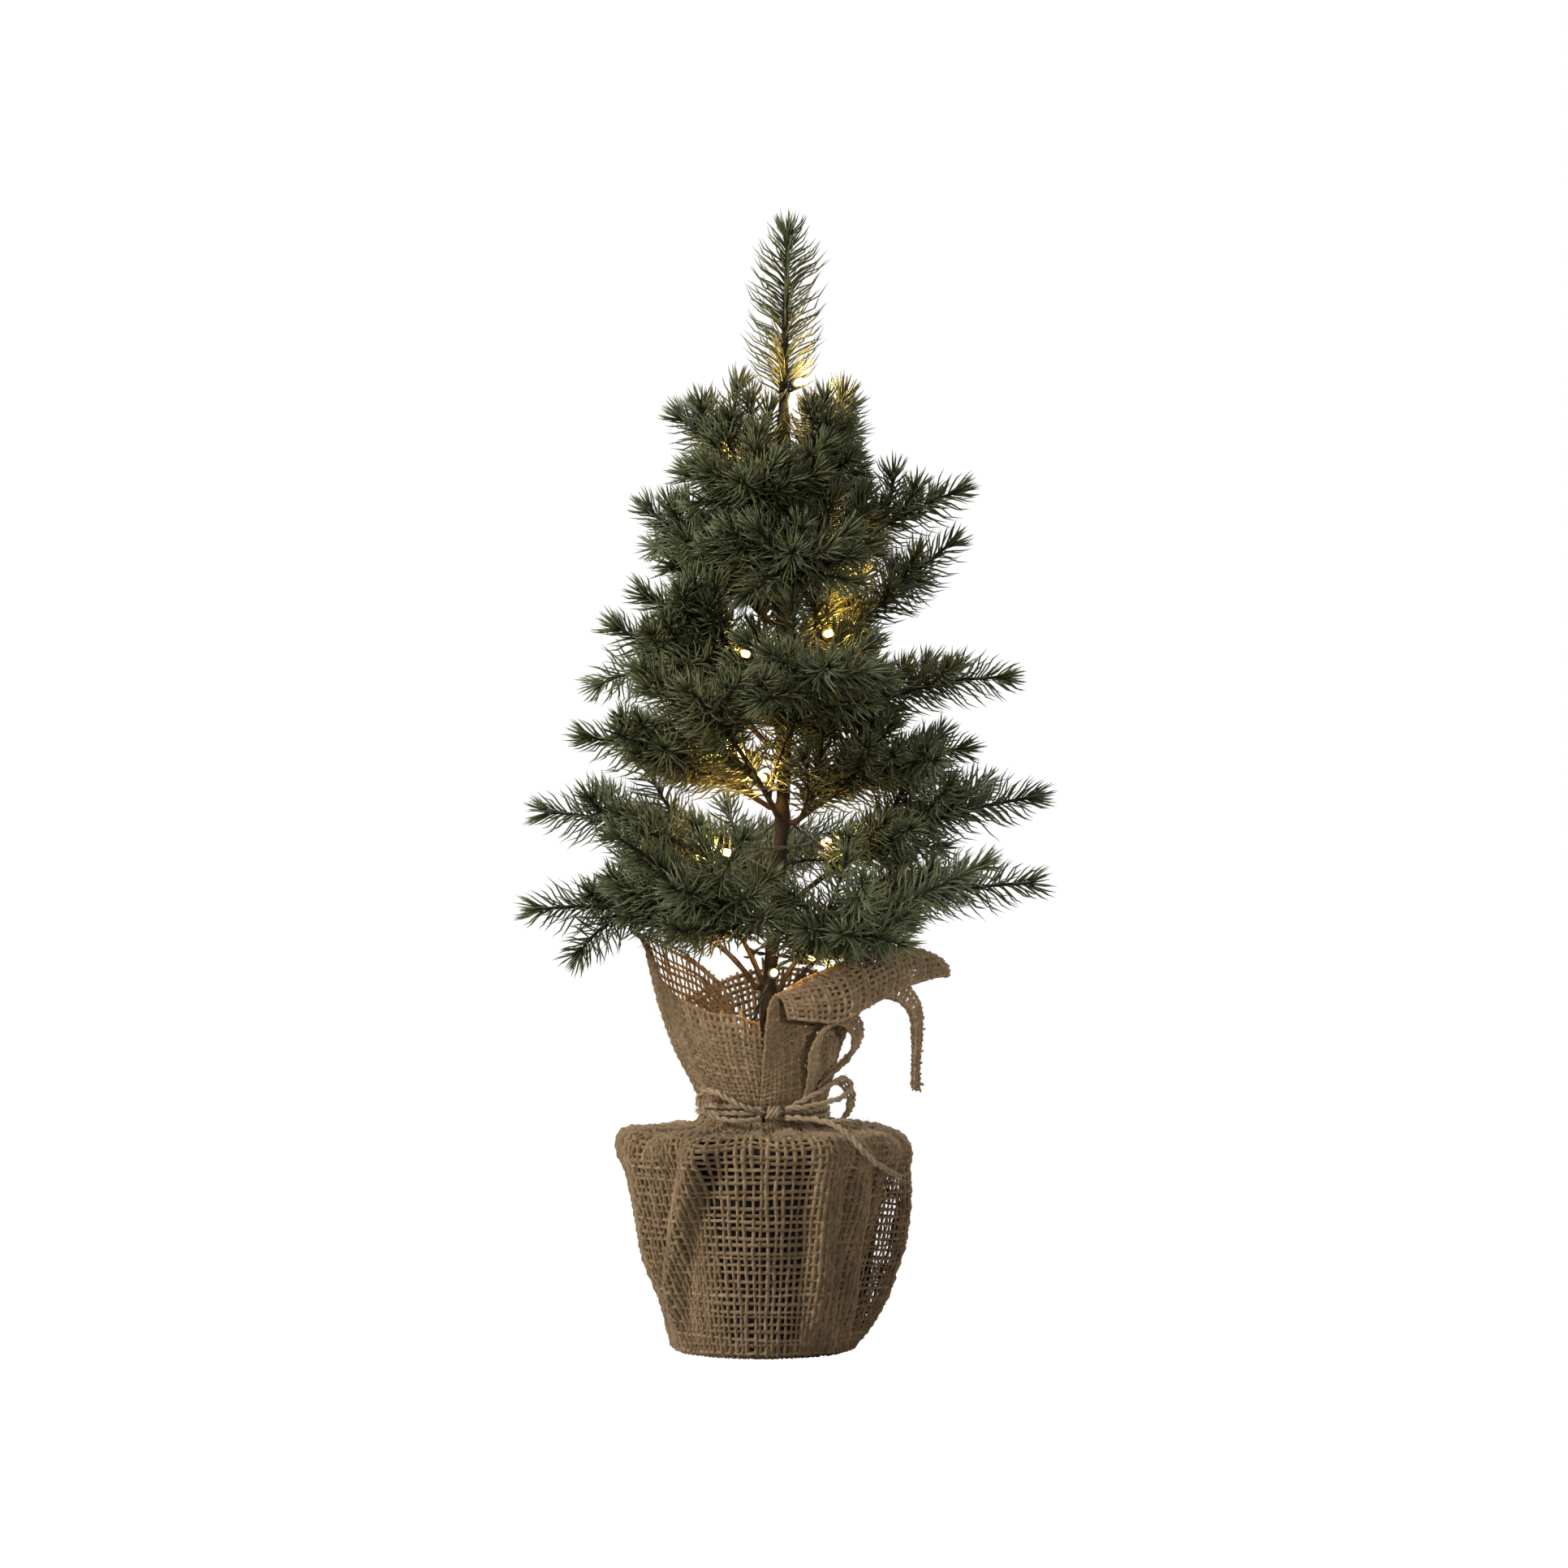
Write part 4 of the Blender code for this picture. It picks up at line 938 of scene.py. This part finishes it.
def weave(shape, grid, rng, wrap=False, full=None, pitch=PITCH, radius=YARN_R, lift=0.00036, fringe=None, tails=0.002, flip=1.0, wear_and_shade=0.0, ragged=True, crowd=None):
    """Yarns over and under one another on a surface: rows run bottom to top, columns round. Returns points and outward directions for loose fibres."""
    normal = normals_of(grid, wrap) * flip
    rows, cols = grid.shape[:2]
    up_len = np.linalg.norm(np.diff(grid, axis=0), axis=2)
    col_s = np.vstack([np.zeros(cols), np.cumsum(up_len, 0)])
    mean_s = col_s.mean(1)
    closed = np.concatenate([grid, grid[:, :1]], 1) if wrap else grid
    row_len = np.linalg.norm(np.diff(closed, axis=1), axis=2)
    widest = int(np.argmax(row_len.sum(1))) if not wrap else int(rows * 0.45)
    step = row_len[widest]
    if crowd is not None:  # cloth gathered sideways holds more yarns
        step = step * crowd[: len(step)]
    row_s = np.concatenate([[0], np.cumsum(step)])
    n_up = max(2, int(round(row_s[-1] / pitch)))
    n_up += n_up % 2 if wrap else 0
    n_across = max(2, int(round(mean_s[-1] / pitch)))
    if wrap:
        cols_at = np.interp(np.arange(n_up) / n_up * row_s[-1], row_s, np.arange(len(row_s)))
    else:
        cols_at = np.interp((np.arange(n_up) + 0.5) / n_up * row_s[-1], row_s, np.arange(len(row_s)))
    rows_at = np.interp((np.arange(n_across) + 0.5) / n_across * mean_s[-1], mean_s, np.arange(rows))
    # small smooth wander of every yarn
    drift_c = np.cumsum(rng.normal(0, 0.06, (n_across, n_up)), 0)
    drift_c -= drift_c.mean(0)
    drift_c = np.clip(drift_c, -0.35, 0.35)
    drift_r = np.cumsum(rng.normal(0, 0.05, (n_across, n_up)), 1)
    drift_r -= drift_r.mean(1)[:, None]
    drift_r = np.clip(drift_r, -0.3, 0.3)
    step_c = np.gradient(cols_at)
    step_r = np.gradient(rows_at)
    jj = cols_at[None] + drift_c * step_c[None]
    ii = rows_at[:, None] + drift_r * step_r[:, None]
    p = bilinear(grid, ii, jj, wrap)
    nn = unit(bilinear(normal, ii, jj, wrap))
    sign = np.where((np.arange(n_across)[:, None] + np.arange(n_up)[None]) % 2 == 0, 1.0, -1.0)
    # yarns pressed together are thinner
    left = np.linalg.norm(p - np.roll(p, 1, 1), axis=2)
    right = np.linalg.norm(p - np.roll(p, -1, 1), axis=2)
    space_c = (left + right) / 2
    if not wrap:
        space_c[:, 0], space_c[:, -1] = right[:, 0], left[:, -1]
    below = np.linalg.norm(p - np.roll(p, 1, 0), axis=2)
    space_r = np.vstack([below[1:2], below[1:]])
    tight_c = np.minimum(1.0, 0.80 * space_c / (2 * radius) + 0.1)
    tight_r = np.minimum(1.0, 0.80 * space_r / (2 * radius) + 0.1)
    if full is not None:  # fuller yarns on part of the cloth
        share = bilinear(np.broadcast_to(full, grid.shape[:2])[..., None], ii, jj, wrap)[..., 0]
        tight_c, tight_r = tight_c * share, tight_r * share
    spots, away = [], []
    for c in range(n_up):
        amount = radius * rng.uniform(0.86, 1.16)
        slub = 1 + 0.16 * np.sin(np.arange(n_across) * rng.uniform(0.3, 0.7) + rng.uniform(0, 6)) + rng.normal(0, 0.05, n_across)
        line = p[:, c] + nn[:, c] * (sign[:, c] * lift)[:, None]
        thick = amount * slub * tight_c[:, c]
        normal_c = nn[:, c]
        if tails and not wrap:
            reach = tails * rng.uniform(0.2, 1.0) + (0.004 if rng.random() < 0.08 else 0)
            grow = unit(line[-1] - line[-2] + rng.normal(0, 0.0004, 3))
            line = np.vstack([line, line[-1] + grow * reach * 0.5, line[-1] + grow * reach + rng.normal(0, 0.0004, 3)])
            thick = np.concatenate([thick, thick[-1:] * 0.9, thick[-1:] * 0.45])
            normal_c = np.vstack([normal_c, normal_c[-1:], normal_c[-1:]])
        tube(shape, line, thick, 4, (rng.uniform(0.1, 0.95), 0, wear_and_shade * rng.uniform(0.6, 1.0)), 0, normals=normal_c)
        spots.append(p[:, c])
        away.append(nn[:, c])
    for r in range(n_across):
        amount = radius * rng.uniform(0.86, 1.16)
        slub = 1 + 0.16 * np.sin(np.arange(n_up) * rng.uniform(0.3, 0.7) + rng.uniform(0, 6)) + rng.normal(0, 0.05, n_up)
        line = p[r] - nn[r] * (sign[r] * lift)[:, None]
        thick = amount * slub * np.minimum(tight_r[r], 1.0)
        normal_r = nn[r]
        if wrap:
            line = np.vstack([line, line[:1]])
            thick = np.append(thick, thick[0])
            normal_r = np.vstack([normal_r, normal_r[:1]])
        elif ragged:
            for end in (0, -1):
                other = 1 if end == 0 else -2
                grow = unit(line[end] - line[other] + rng.normal(0, 0.0004, 3))
                tip = line[end] + grow * tails * rng.uniform(0.3, 1.0)
                if end == 0:
                    line, thick, normal_r = np.vstack([tip, line]), np.concatenate([[thick[0] * 0.5], thick]), np.vstack([normal_r[:1], normal_r])
                else:
                    line, thick, normal_r = np.vstack([line, tip]), np.concatenate([thick, [thick[-1] * 0.5]]), np.vstack([normal_r, normal_r[-1:]])
        tube(shape, line, thick, 4, (rng.uniform(0.1, 0.95), 0, wear_and_shade * rng.uniform(0.6, 1.0)), 0, normals=normal_r)
    return np.concatenate(spots), np.concatenate(away)


def g(angle, centre, width):
    d = (angle - centre + 180) % 360 - 180
    return np.exp(-((d / width) ** 2))


def body_grid(cols=720, rows=150):
    """The cloth from its cut edge under the pot up the wall, over the rim and in to the neck."""
    profile = [(31.8, 0.75), (33.8, 0.75), (35.2, 1.7), (36.0, 4.0)]
    for z in (9, 16, 24, 34, 44, 54, 64, 72):
        profile.append((pot_r(z * MM) * 1000 + 1.55 + 0.012 * z, z))
    profile += [(53.4, 77.0), (53.8, 80.5), (52.6, 83.9), (49.0, 86.0), (43.0, 86.6), (36.5, 86.7), (31.0, 87.2), (27.4, 88.4), (24.6, 90.6), (23.3, 93.4), (22.9, 96.0), (22.9, 98.0)]
    line = catmull([(r, 0, z) for r, z in profile], rows)
    r0, z0 = line[:, 0][:, None], line[:, 2][:, None]
    f = np.linspace(0, 1, rows)[:, None]
    deg = np.linspace(0, 360, cols, endpoint=False)[None]
    rad = np.radians(deg)
    wall = smoothstep((z0 - 3) / 14) * smoothstep((r0 - 33) / 8)
    low = smoothstep((z0 - 2) / 20)
    top = smoothstep((z0 - 80) / 8) * smoothstep((50 - r0) / 12)
    r = r0 + 0 * deg
    z = z0 + 0 * deg
    # loose fold standing off the right side
    outs = np.interp(z0, [0, 1.6, 4.8, 11, 23.8, 39.7, 55.6, 65, 78, 84, 88], [0, 0.4, 2.6, 5.4, 9.6, 10.8, 10.4, 9.2, 4.8, 2.0, 0.0])
    shape_r = np.exp(-np.abs(((deg + 4 + 180) % 360 - 180) / 10.5) ** 1.7)
    r += outs * shape_r * smoothstep((r0 - 31) / 6)
    # slack on the left
    r += 2.8 * g(deg, 181, 30) * smoothstep((z0 - 10) / 30) * wall
    # puffed folds at the front, either side of the open panel
    lean = np.interp(z0, [8, 24, 60, 87], [208, 215, 232, 246])
    r += wall * (5.6 * g(deg, lean, 6.0) - 2.2 * g(deg, lean + 11, 4.5) - 1.8 * g(deg, lean - 10, 4.5)) * (0.5 + 0.5 * smoothstep(z0 / 60))
    lean = np.interp(z0, [8, 87], [303, 297])
    r += wall * (3.8 * g(deg, lean, 6.5) - 1.4 * g(deg, lean + 12, 5.0) - 0.8 * g(deg, lean - 10, 4.0))
    lean = np.interp(z0, [8, 87], [330, 314])
    r += wall * (2.6 * g(deg, lean, 5.0) - 1.0 * g(deg, lean + 9, 4.5))
    lean = np.interp(z0, [8, 87], [192, 204])
    r += wall * (1.7 * g(deg, lean, 6.0))
    # and round the back
    for centre, slope, high, wide in ((24, 10, 2.4, 6), (44, -8, 3.0, 8), (70, 6, 2.2, 7), (92, -5, 3.4, 8), (116, 8, 2.4, 7), (139, -10, 3.2, 8), (158, 6, 2.0, 6)):
        lean = centre + slope * (z0 - 45) / 45
        r += wall * high * g(deg, lean, wide)
    # puckers on the rim and pleats running in to the neck
    pucker = np.sin(rad * 13 + 0.7) + 0.6 * np.sin(rad * 21 + 2.1) + 0.5 * np.sin(rad * 7 + 4.0)
    rim = np.exp(-(((z0 - 84) / 6) ** 2)) * smoothstep((r0 - 40) / 8)
    r += rim * 0.75 * pucker
    z += rim * 0.75 * np.sin(rad * 11 + 1.2) + 1.0 * rim * g(deg, 190, 16) + 0.8 * rim * g(deg, 226, 9) - 1.2 * rim * g(deg, 208, 6)
    pleat = np.sin(rad * 19 + 0.9 * np.sin(rad * 3)) + 0.5 * np.sin(rad * 31 + 1.0)
    z += top * (0.85 * pleat - 0.1) * smoothstep((r0 - 24) / 6)
    neck = smoothstep((z0 - 89.5) / 3) * smoothstep((28 - r0) / 3)
    r += neck * (0.95 * pleat - 0.1)
    # slow unevenness everywhere
    r += wall * (0.5 * np.sin(rad * 5 + z0 / 14) + 0.35 * np.sin(rad * 9 - z0 / 9 + 2) + 0.25 * np.sin(z0 / 5.5 + rad * 4))
    # and never inside the pot
    outside = np.where((z0 > 3) & (z0 < 79) & (r0 > 33), pot_r(np.clip(z0, 1.6, 84) * MM) * 1000 + 0.95, 0)
    r = np.maximum(r, outside)
    return np.stack([POT_X + r * MM * np.cos(rad), r * MM * np.sin(rad), z * MM + 0 * rad], -1)


def net(columns, rows, cols):
    """A smooth surface through given columns of points, each from the neck up. Millimetres from the pot's axis; height
    is from the floor.
    """
    ups = np.array([catmull([(POT_X + x * MM, y * MM, z * MM) for x, y, z in column], rows) for column in columns])
    out = np.array([catmull(ups[:, r], cols) for r in range(rows)])
    return out


LEFT_PETAL = [
    [(-3.0, 22.5, 95), (-6, 24, 107), (-9, 25, 120), (-11, 27, 131), (-12, 29, 137)],
    [(-11.5, 19.5, 95), (-14, 22, 108), (-16, 24, 122), (-17.5, 25, 136), (-18, 26, 146)],
    [(-18.5, 13.5, 95), (-22, 17, 108), (-24.5, 19.5, 124), (-26, 20.5, 141), (-28, 21, 155)],
    [(-22.3, 6, 95), (-27, 8.5, 108), (-31.5, 11, 124), (-34.5, 13, 143), (-38, 14, 161)],
    [(-23, -1.5, 95), (-28.5, -1, 107), (-35.5, 0.5, 121), (-41, 3, 138), (-44.5, 5, 153), (-47.5, 6, 162), (-53, 5, 165.5)],
    [(-21.3, -9, 95), (-26.5, -10, 106), (-33, -10.5, 119), (-38.5, -9, 133), (-42.5, -6, 147), (-44.5, -3, 157.5), (-48, -2, 161.5)],
    [(-17.5, -15.5, 95), (-21.5, -18.5, 105), (-26.5, -20.5, 116), (-31.5, -20, 127), (-35.5, -17.5, 137), (-38, -15, 144)],
    [(-11.5, -20.5, 95), (-14.5, -24, 105), (-18, -26.5, 116), (-21, -26.5, 126), (-22.5, -24.5, 134.5)],
    [(-4.5, -23, 95), (-6, -26.8, 105), (-8, -29, 116), (-9.5, -28.6, 125), (-10, -26.5, 132.5)],
    [(3.0, -23.2, 95), (2.0, -26, 104), (0.6, -27.5, 114), (0, -26.5, 122), (-0.5, -23, 128.5)],
]
RIGHT_PETAL = [
    [(-1.5, -24.4, 95), (-1.0, -28.6, 105), (0.2, -31.0, 117), (1.2, -31.5, 129), (2.0, -30.5, 137), (4.0, -31.0, 140.5), (7.0, -34.0, 138.5), (9.0, -35.5, 132.5)],
    [(5.0, -24.0, 95), (6.5, -27.6, 105), (8.5, -25.5, 118), (10.0, -21.0, 130), (11.5, -21.5, 140), (14.0, -25.5, 145.5), (17.5, -31.5, 144.0), (19.5, -34.0, 138.5), (20.0, -34.5, 131.0)],
    [(12.5, -20.8, 95), (15.0, -23.0, 105), (18.0, -18.5, 119), (21.0, -14.5, 134), (24.0, -14.5, 146), (27.0, -19.0, 151.0), (30.0, -27.0, 149.5), (31.5, -31.0, 142.5), (31.0, -32.0, 131.0)],
    [(18.8, -15.0, 95), (22.5, -16.5, 106), (26.0, -13.0, 121), (31.5, -10.5, 138), (36.5, -11.5, 152), (39.5, -15.5, 157.0), (42.0, -22.5, 155.5), (43.0, -27.5, 148), (42.0, -29.0, 136.5)],
    [(22.6, -7.5, 95), (26.5, -8.0, 108), (31.0, -6.5, 125), (40.5, -6.0, 143), (48.5, -8.0, 155.5), (51.5, -11.5, 158.8), (54.0, -17.5, 157.0), (54.8, -21.5, 150.5), (53.5, -23.5, 142.5)],
    [(23.2, 0.5, 95), (27.0, 1.5, 110), (33.0, 3.0, 127), (47.0, 3.0, 144), (58.0, -1.0, 154.5), (61.5, -4.5, 157.5), (64.5, -10.0, 155.5), (65.0, -13.0, 150.5), (64.0, -14.5, 145.5)],
    [(21.8, 7.5, 95), (26.0, 9.5, 111), (33.0, 11.5, 128), (49.0, 11.0, 144), (62.0, 5.0, 152.5), (67.5, 0.5, 154.5), (72.0, -3.0, 152.5), (73.0, -5.0, 149.5), (72.5, -6.0, 146.5)],
    [(17.0, 15.2, 95), (22.0, 18.5, 111), (29.5, 21.5, 128), (41.0, 21.0, 142), (54.0, 14.5, 148.0), (62.0, 8.0, 150), (68.5, 2.0, 149.0), (71.0, -1.5, 146.5)],
]
BACK_PETAL = [
    [(20.0, 11.0, 94.5), (25.0, 15.5, 108), (31.0, 19.5, 123), (37.0, 22.0, 136), (41.0, 24.0, 142)],
    [(14.0, 18.0, 94.5), (18.0, 23.0, 108), (22.0, 29.0, 124), (25.0, 34.0, 138), (28.0, 40.0, 147)],
    [(6.0, 22.0, 94.5), (7.5, 27.5, 108), (9.0, 34.0, 124), (9.5, 40.0, 140), (8.0, 48.0, 150)],
    [(-2.0, 22.8, 94.5), (-3.0, 28.5, 108), (-5.0, 34.5, 122), (-8.0, 39.0, 136), (-12.0, 44.0, 146)],
    [(-10.0, 20.4, 94.5), (-13.0, 26.0, 108), (-17.0, 30.0, 121), (-22.0, 32.0, 132), (-28.0, 33.0, 139)],
    [(-17.0, 15.2, 94.5), (-21.5, 20.0, 107), (-27.0, 23.0, 119), (-32.0, 25.0, 128), (-36.0, 26.0, 134)],
]
STRIP = [
    [(43.0, -15.0, 148), (51.0, -17.5, 147.0), (57.5, -18.5, 144.5), (61.8, -18.0, 138), (62.6, -17.0, 128), (61.6, -16.5, 116), (61.2, -17.0, 102.5)],
    [(42.5, -17.5, 144), (50.0, -20.5, 142.5), (55.5, -21.8, 140.0), (59.5, -21.3, 134.5), (60.2, -20.2, 126), (59.8, -19.2, 115), (59.6, -19.0, 103)],
    [(43.0, -15.0, 140), (49.5, -17.0, 138.5), (54.0, -18.5, 136.5), (57.3, -18.5, 131.5), (58.0, -17.6, 124), (58.2, -17.0, 114), (58.2, -16.6, 104)],
]


def ear(points, lean):
    """Three edges of a band of cloth that turns back on itself: points run along its middle, lean is half its width."""
    return [[tuple(np.array(p) + k * np.array(lean)) for p in points] for k in (-1.0, 0.0, 1.0)]


LOOP_A = ear([(18.5, -22.0, 102.5), (20.0, -27.0, 111.0), (20.5, -29.5, 120.5), (25.0, -29.5, 129.0), (32.0, -27.0, 132.5), (36.8, -23.5, 127.0), (35.6, -21.0, 119.0), (29.0, -19.5, 112.5), (22.5, -18.0, 106.0)], (2.3, 4.6, 2.8))
LOOP_B = ear([(17.0, -17.5, 96.0), (20.5, -19.5, 100.0), (24.5, -21.0, 104.5), (30.3, -19.5, 107.0), (34.3, -16.5, 102.0), (33.8, -14.0, 95.0), (29.0, -13.0, 90.3), (22.5, -13.5, 91.5)], (1.6, 3.6, 1.2))

rng = np.random.default_rng(7)
cloth = Shape()
body = body_grid()
at = np.linspace(0, 360, 720, endpoint=False)
panel = smoothstep((at - 239) / 7) * smoothstep((296 - at) / 7)
thin = (smoothstep((at - 331) / 7) * smoothstep((353 - at) / 5) + smoothstep((at - 1) / 5) * smoothstep((22 - at) / 7)).clip(0, 1)
open_to = smoothstep((0.0795 - body[:, :, 2]) / 0.004) * smoothstep((body[:, :, 2] - 0.004) / 0.006)
full = 1.28 - (0.34 * panel + 0.62 * thin)[None] * open_to
crowd = 1.34 - 0.34 * panel
fuzz = [weave(cloth, body, rng, wrap=True, full=full, crowd=crowd)]
petal = np.interp(np.arange(90), [0, 36, 42, 50, 58, 89], [0.78, 0.62, 0.56, 0.66, 1.08, 1.12])
fuzz.append(weave(cloth, net(LEFT_PETAL, 60, 90), rng, pitch=0.0026, full=petal))
fuzz.append(weave(cloth, net(RIGHT_PETAL, 90, 90), rng, pitch=0.0024, tails=0.0007, full=np.array(1.08)))
fuzz.append(weave(cloth, net(BACK_PETAL, 50, 60), rng, pitch=0.0028))
burlap = cloth.object("burlap_cloth", [BURLAP])
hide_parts("burlap_wrap")
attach(burlap, "root")

trim = Shape()
fuzz.append(weave(trim, np.swapaxes(net(STRIP, 50, 14), 0, 1)[::-1], rng, pitch=0.0022, tails=0.0014))
fuzz.append(weave(trim, net(LOOP_A, 60, 24), rng, pitch=0.0026, tails=0.0008, full=np.array(0.95)))
fuzz.append(weave(trim, net(LOOP_B, 60, 24), rng, pitch=0.0024, tails=0.0008, full=np.array(0.80)))
folds = trim.object("burlap_folds_and_strip", [BURLAP])
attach(folds, "root")

fringe = Shape()
spots = np.concatenate([f[0] for f in fuzz])
away = np.concatenate([f[1] for f in fuzz])
high = spots[:, 2] > 0.0035
hairs(fringe, spots[high], away[high], 5200, 0.0030, rng, 0.000055, lean=0.75)
fringe = fringe.object("burlap_loose_fibres", [BURLAP])
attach(fringe, "root")

# the second layer of cloth, where the wrap overlaps itself; it is coloured darker than the outer cloth as painted shade
under = Shape()
for first, last in ((32, 486), (584, 668)):
    part = body[:, first:last:4]
    axis = np.array((POT_X, 0, 0))
    flat = part - axis
    radial = unit(np.concatenate([flat[..., :2], 0 * flat[..., :1]], -1))
    lift = smoothstep((part[..., 2:3] - 0.078) / 0.008)
    a = part - radial * 0.0006 - np.array((0, 0, 1.0)) * lift * 0.0006
    b = a - radial * 0.0003 - np.array((0, 0, 1.0)) * lift * 0.0003
    a, b = a[4:-22], b[4:-22]
    n, m = a.shape[:2]
    i = np.arange(n - 1)[:, None] * m
    j = np.arange(m - 1)[None]
    q = np.stack([i + j, i + j + 1, i + m + j + 1, i + m + j], -1).reshape(-1, 4)
    size = n * m
    rim_a = np.concatenate([np.arange(m), m * np.arange(1, n) + m - 1, (n - 1) * m + np.arange(m - 2, -1, -1), m * np.arange(n - 2, 0, -1)])
    rim_q = np.stack([np.roll(rim_a, -1), rim_a, rim_a + size, np.roll(rim_a, -1) + size], 1)
    # its third tone number, 0.2, darkens it further as painted shade
    under.add(np.vstack([a.reshape(-1, 3), b.reshape(-1, 3)]), np.concatenate([q, q[:, ::-1] + size, rim_q]), None, (0.4, 0.5, 0.2))
layer = under.object("burlap_under_layer", [LINING])
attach(layer, "root")

# ================================================================ pot and what is under it
FINISH = {
    # dark plastic, tinted brown: the brown is painted shade of the cloth round the pot, seen through the weave
    "pot_shell": plain_material("pot_plastic_and_painted_shade", (0.016, 0.012, 0.009), (0.030, 0.023, 0.017), (0.7, 0.9), 120.0, spec=0.2),
    "ballast_plug": plain_material("cement", (0.30, 0.28, 0.26), (0.50, 0.48, 0.45), (0.85, 1.0), 180.0, 0.9, spec=0.2),
    "battery_door": plain_material("door_plastic", (0.014, 0.014, 0.015), (0.028, 0.028, 0.029), (0.38, 0.55), 150.0),
    "battery_1": plain_material("cell_sleeve", (0.13, 0.15, 0.17), (0.22, 0.25, 0.27), (0.25, 0.4), 90.0),
    "contact_strip_left": plain_material("zinc_steel", (0.42, 0.42, 0.43), (0.64, 0.64, 0.65), (0.25, 0.45), 200.0, metal=1.0),
    "circuit_board": plain_material("circuit_board", (0.020, 0.12, 0.050), (0.035, 0.19, 0.085), (0.3, 0.5), 260.0),
    "switch_body": plain_material("switch_body", (0.018, 0.018, 0.019), (0.034, 0.034, 0.035), (0.4, 0.55), 200.0),
    "switch_knob": plain_material("switch_knob", (0.62, 0.62, 0.60), (0.78, 0.78, 0.76), (0.35, 0.5), 240.0),
    "trunk_core": plain_material("steel_wire", (0.25, 0.25, 0.26), (0.42, 0.42, 0.43), (0.35, 0.5), 300.0, metal=1.0),
}
FINISH["battery_2"] = FINISH["battery_3"] = FINISH["battery_1"]
FINISH["contact_strip_right"] = FINISH["contact_strip_left"]
for name, mat in FINISH.items():
    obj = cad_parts[name]
    for slot in obj.material_slots:
        slot.link = "OBJECT"
        slot.material = mat

lo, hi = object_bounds()
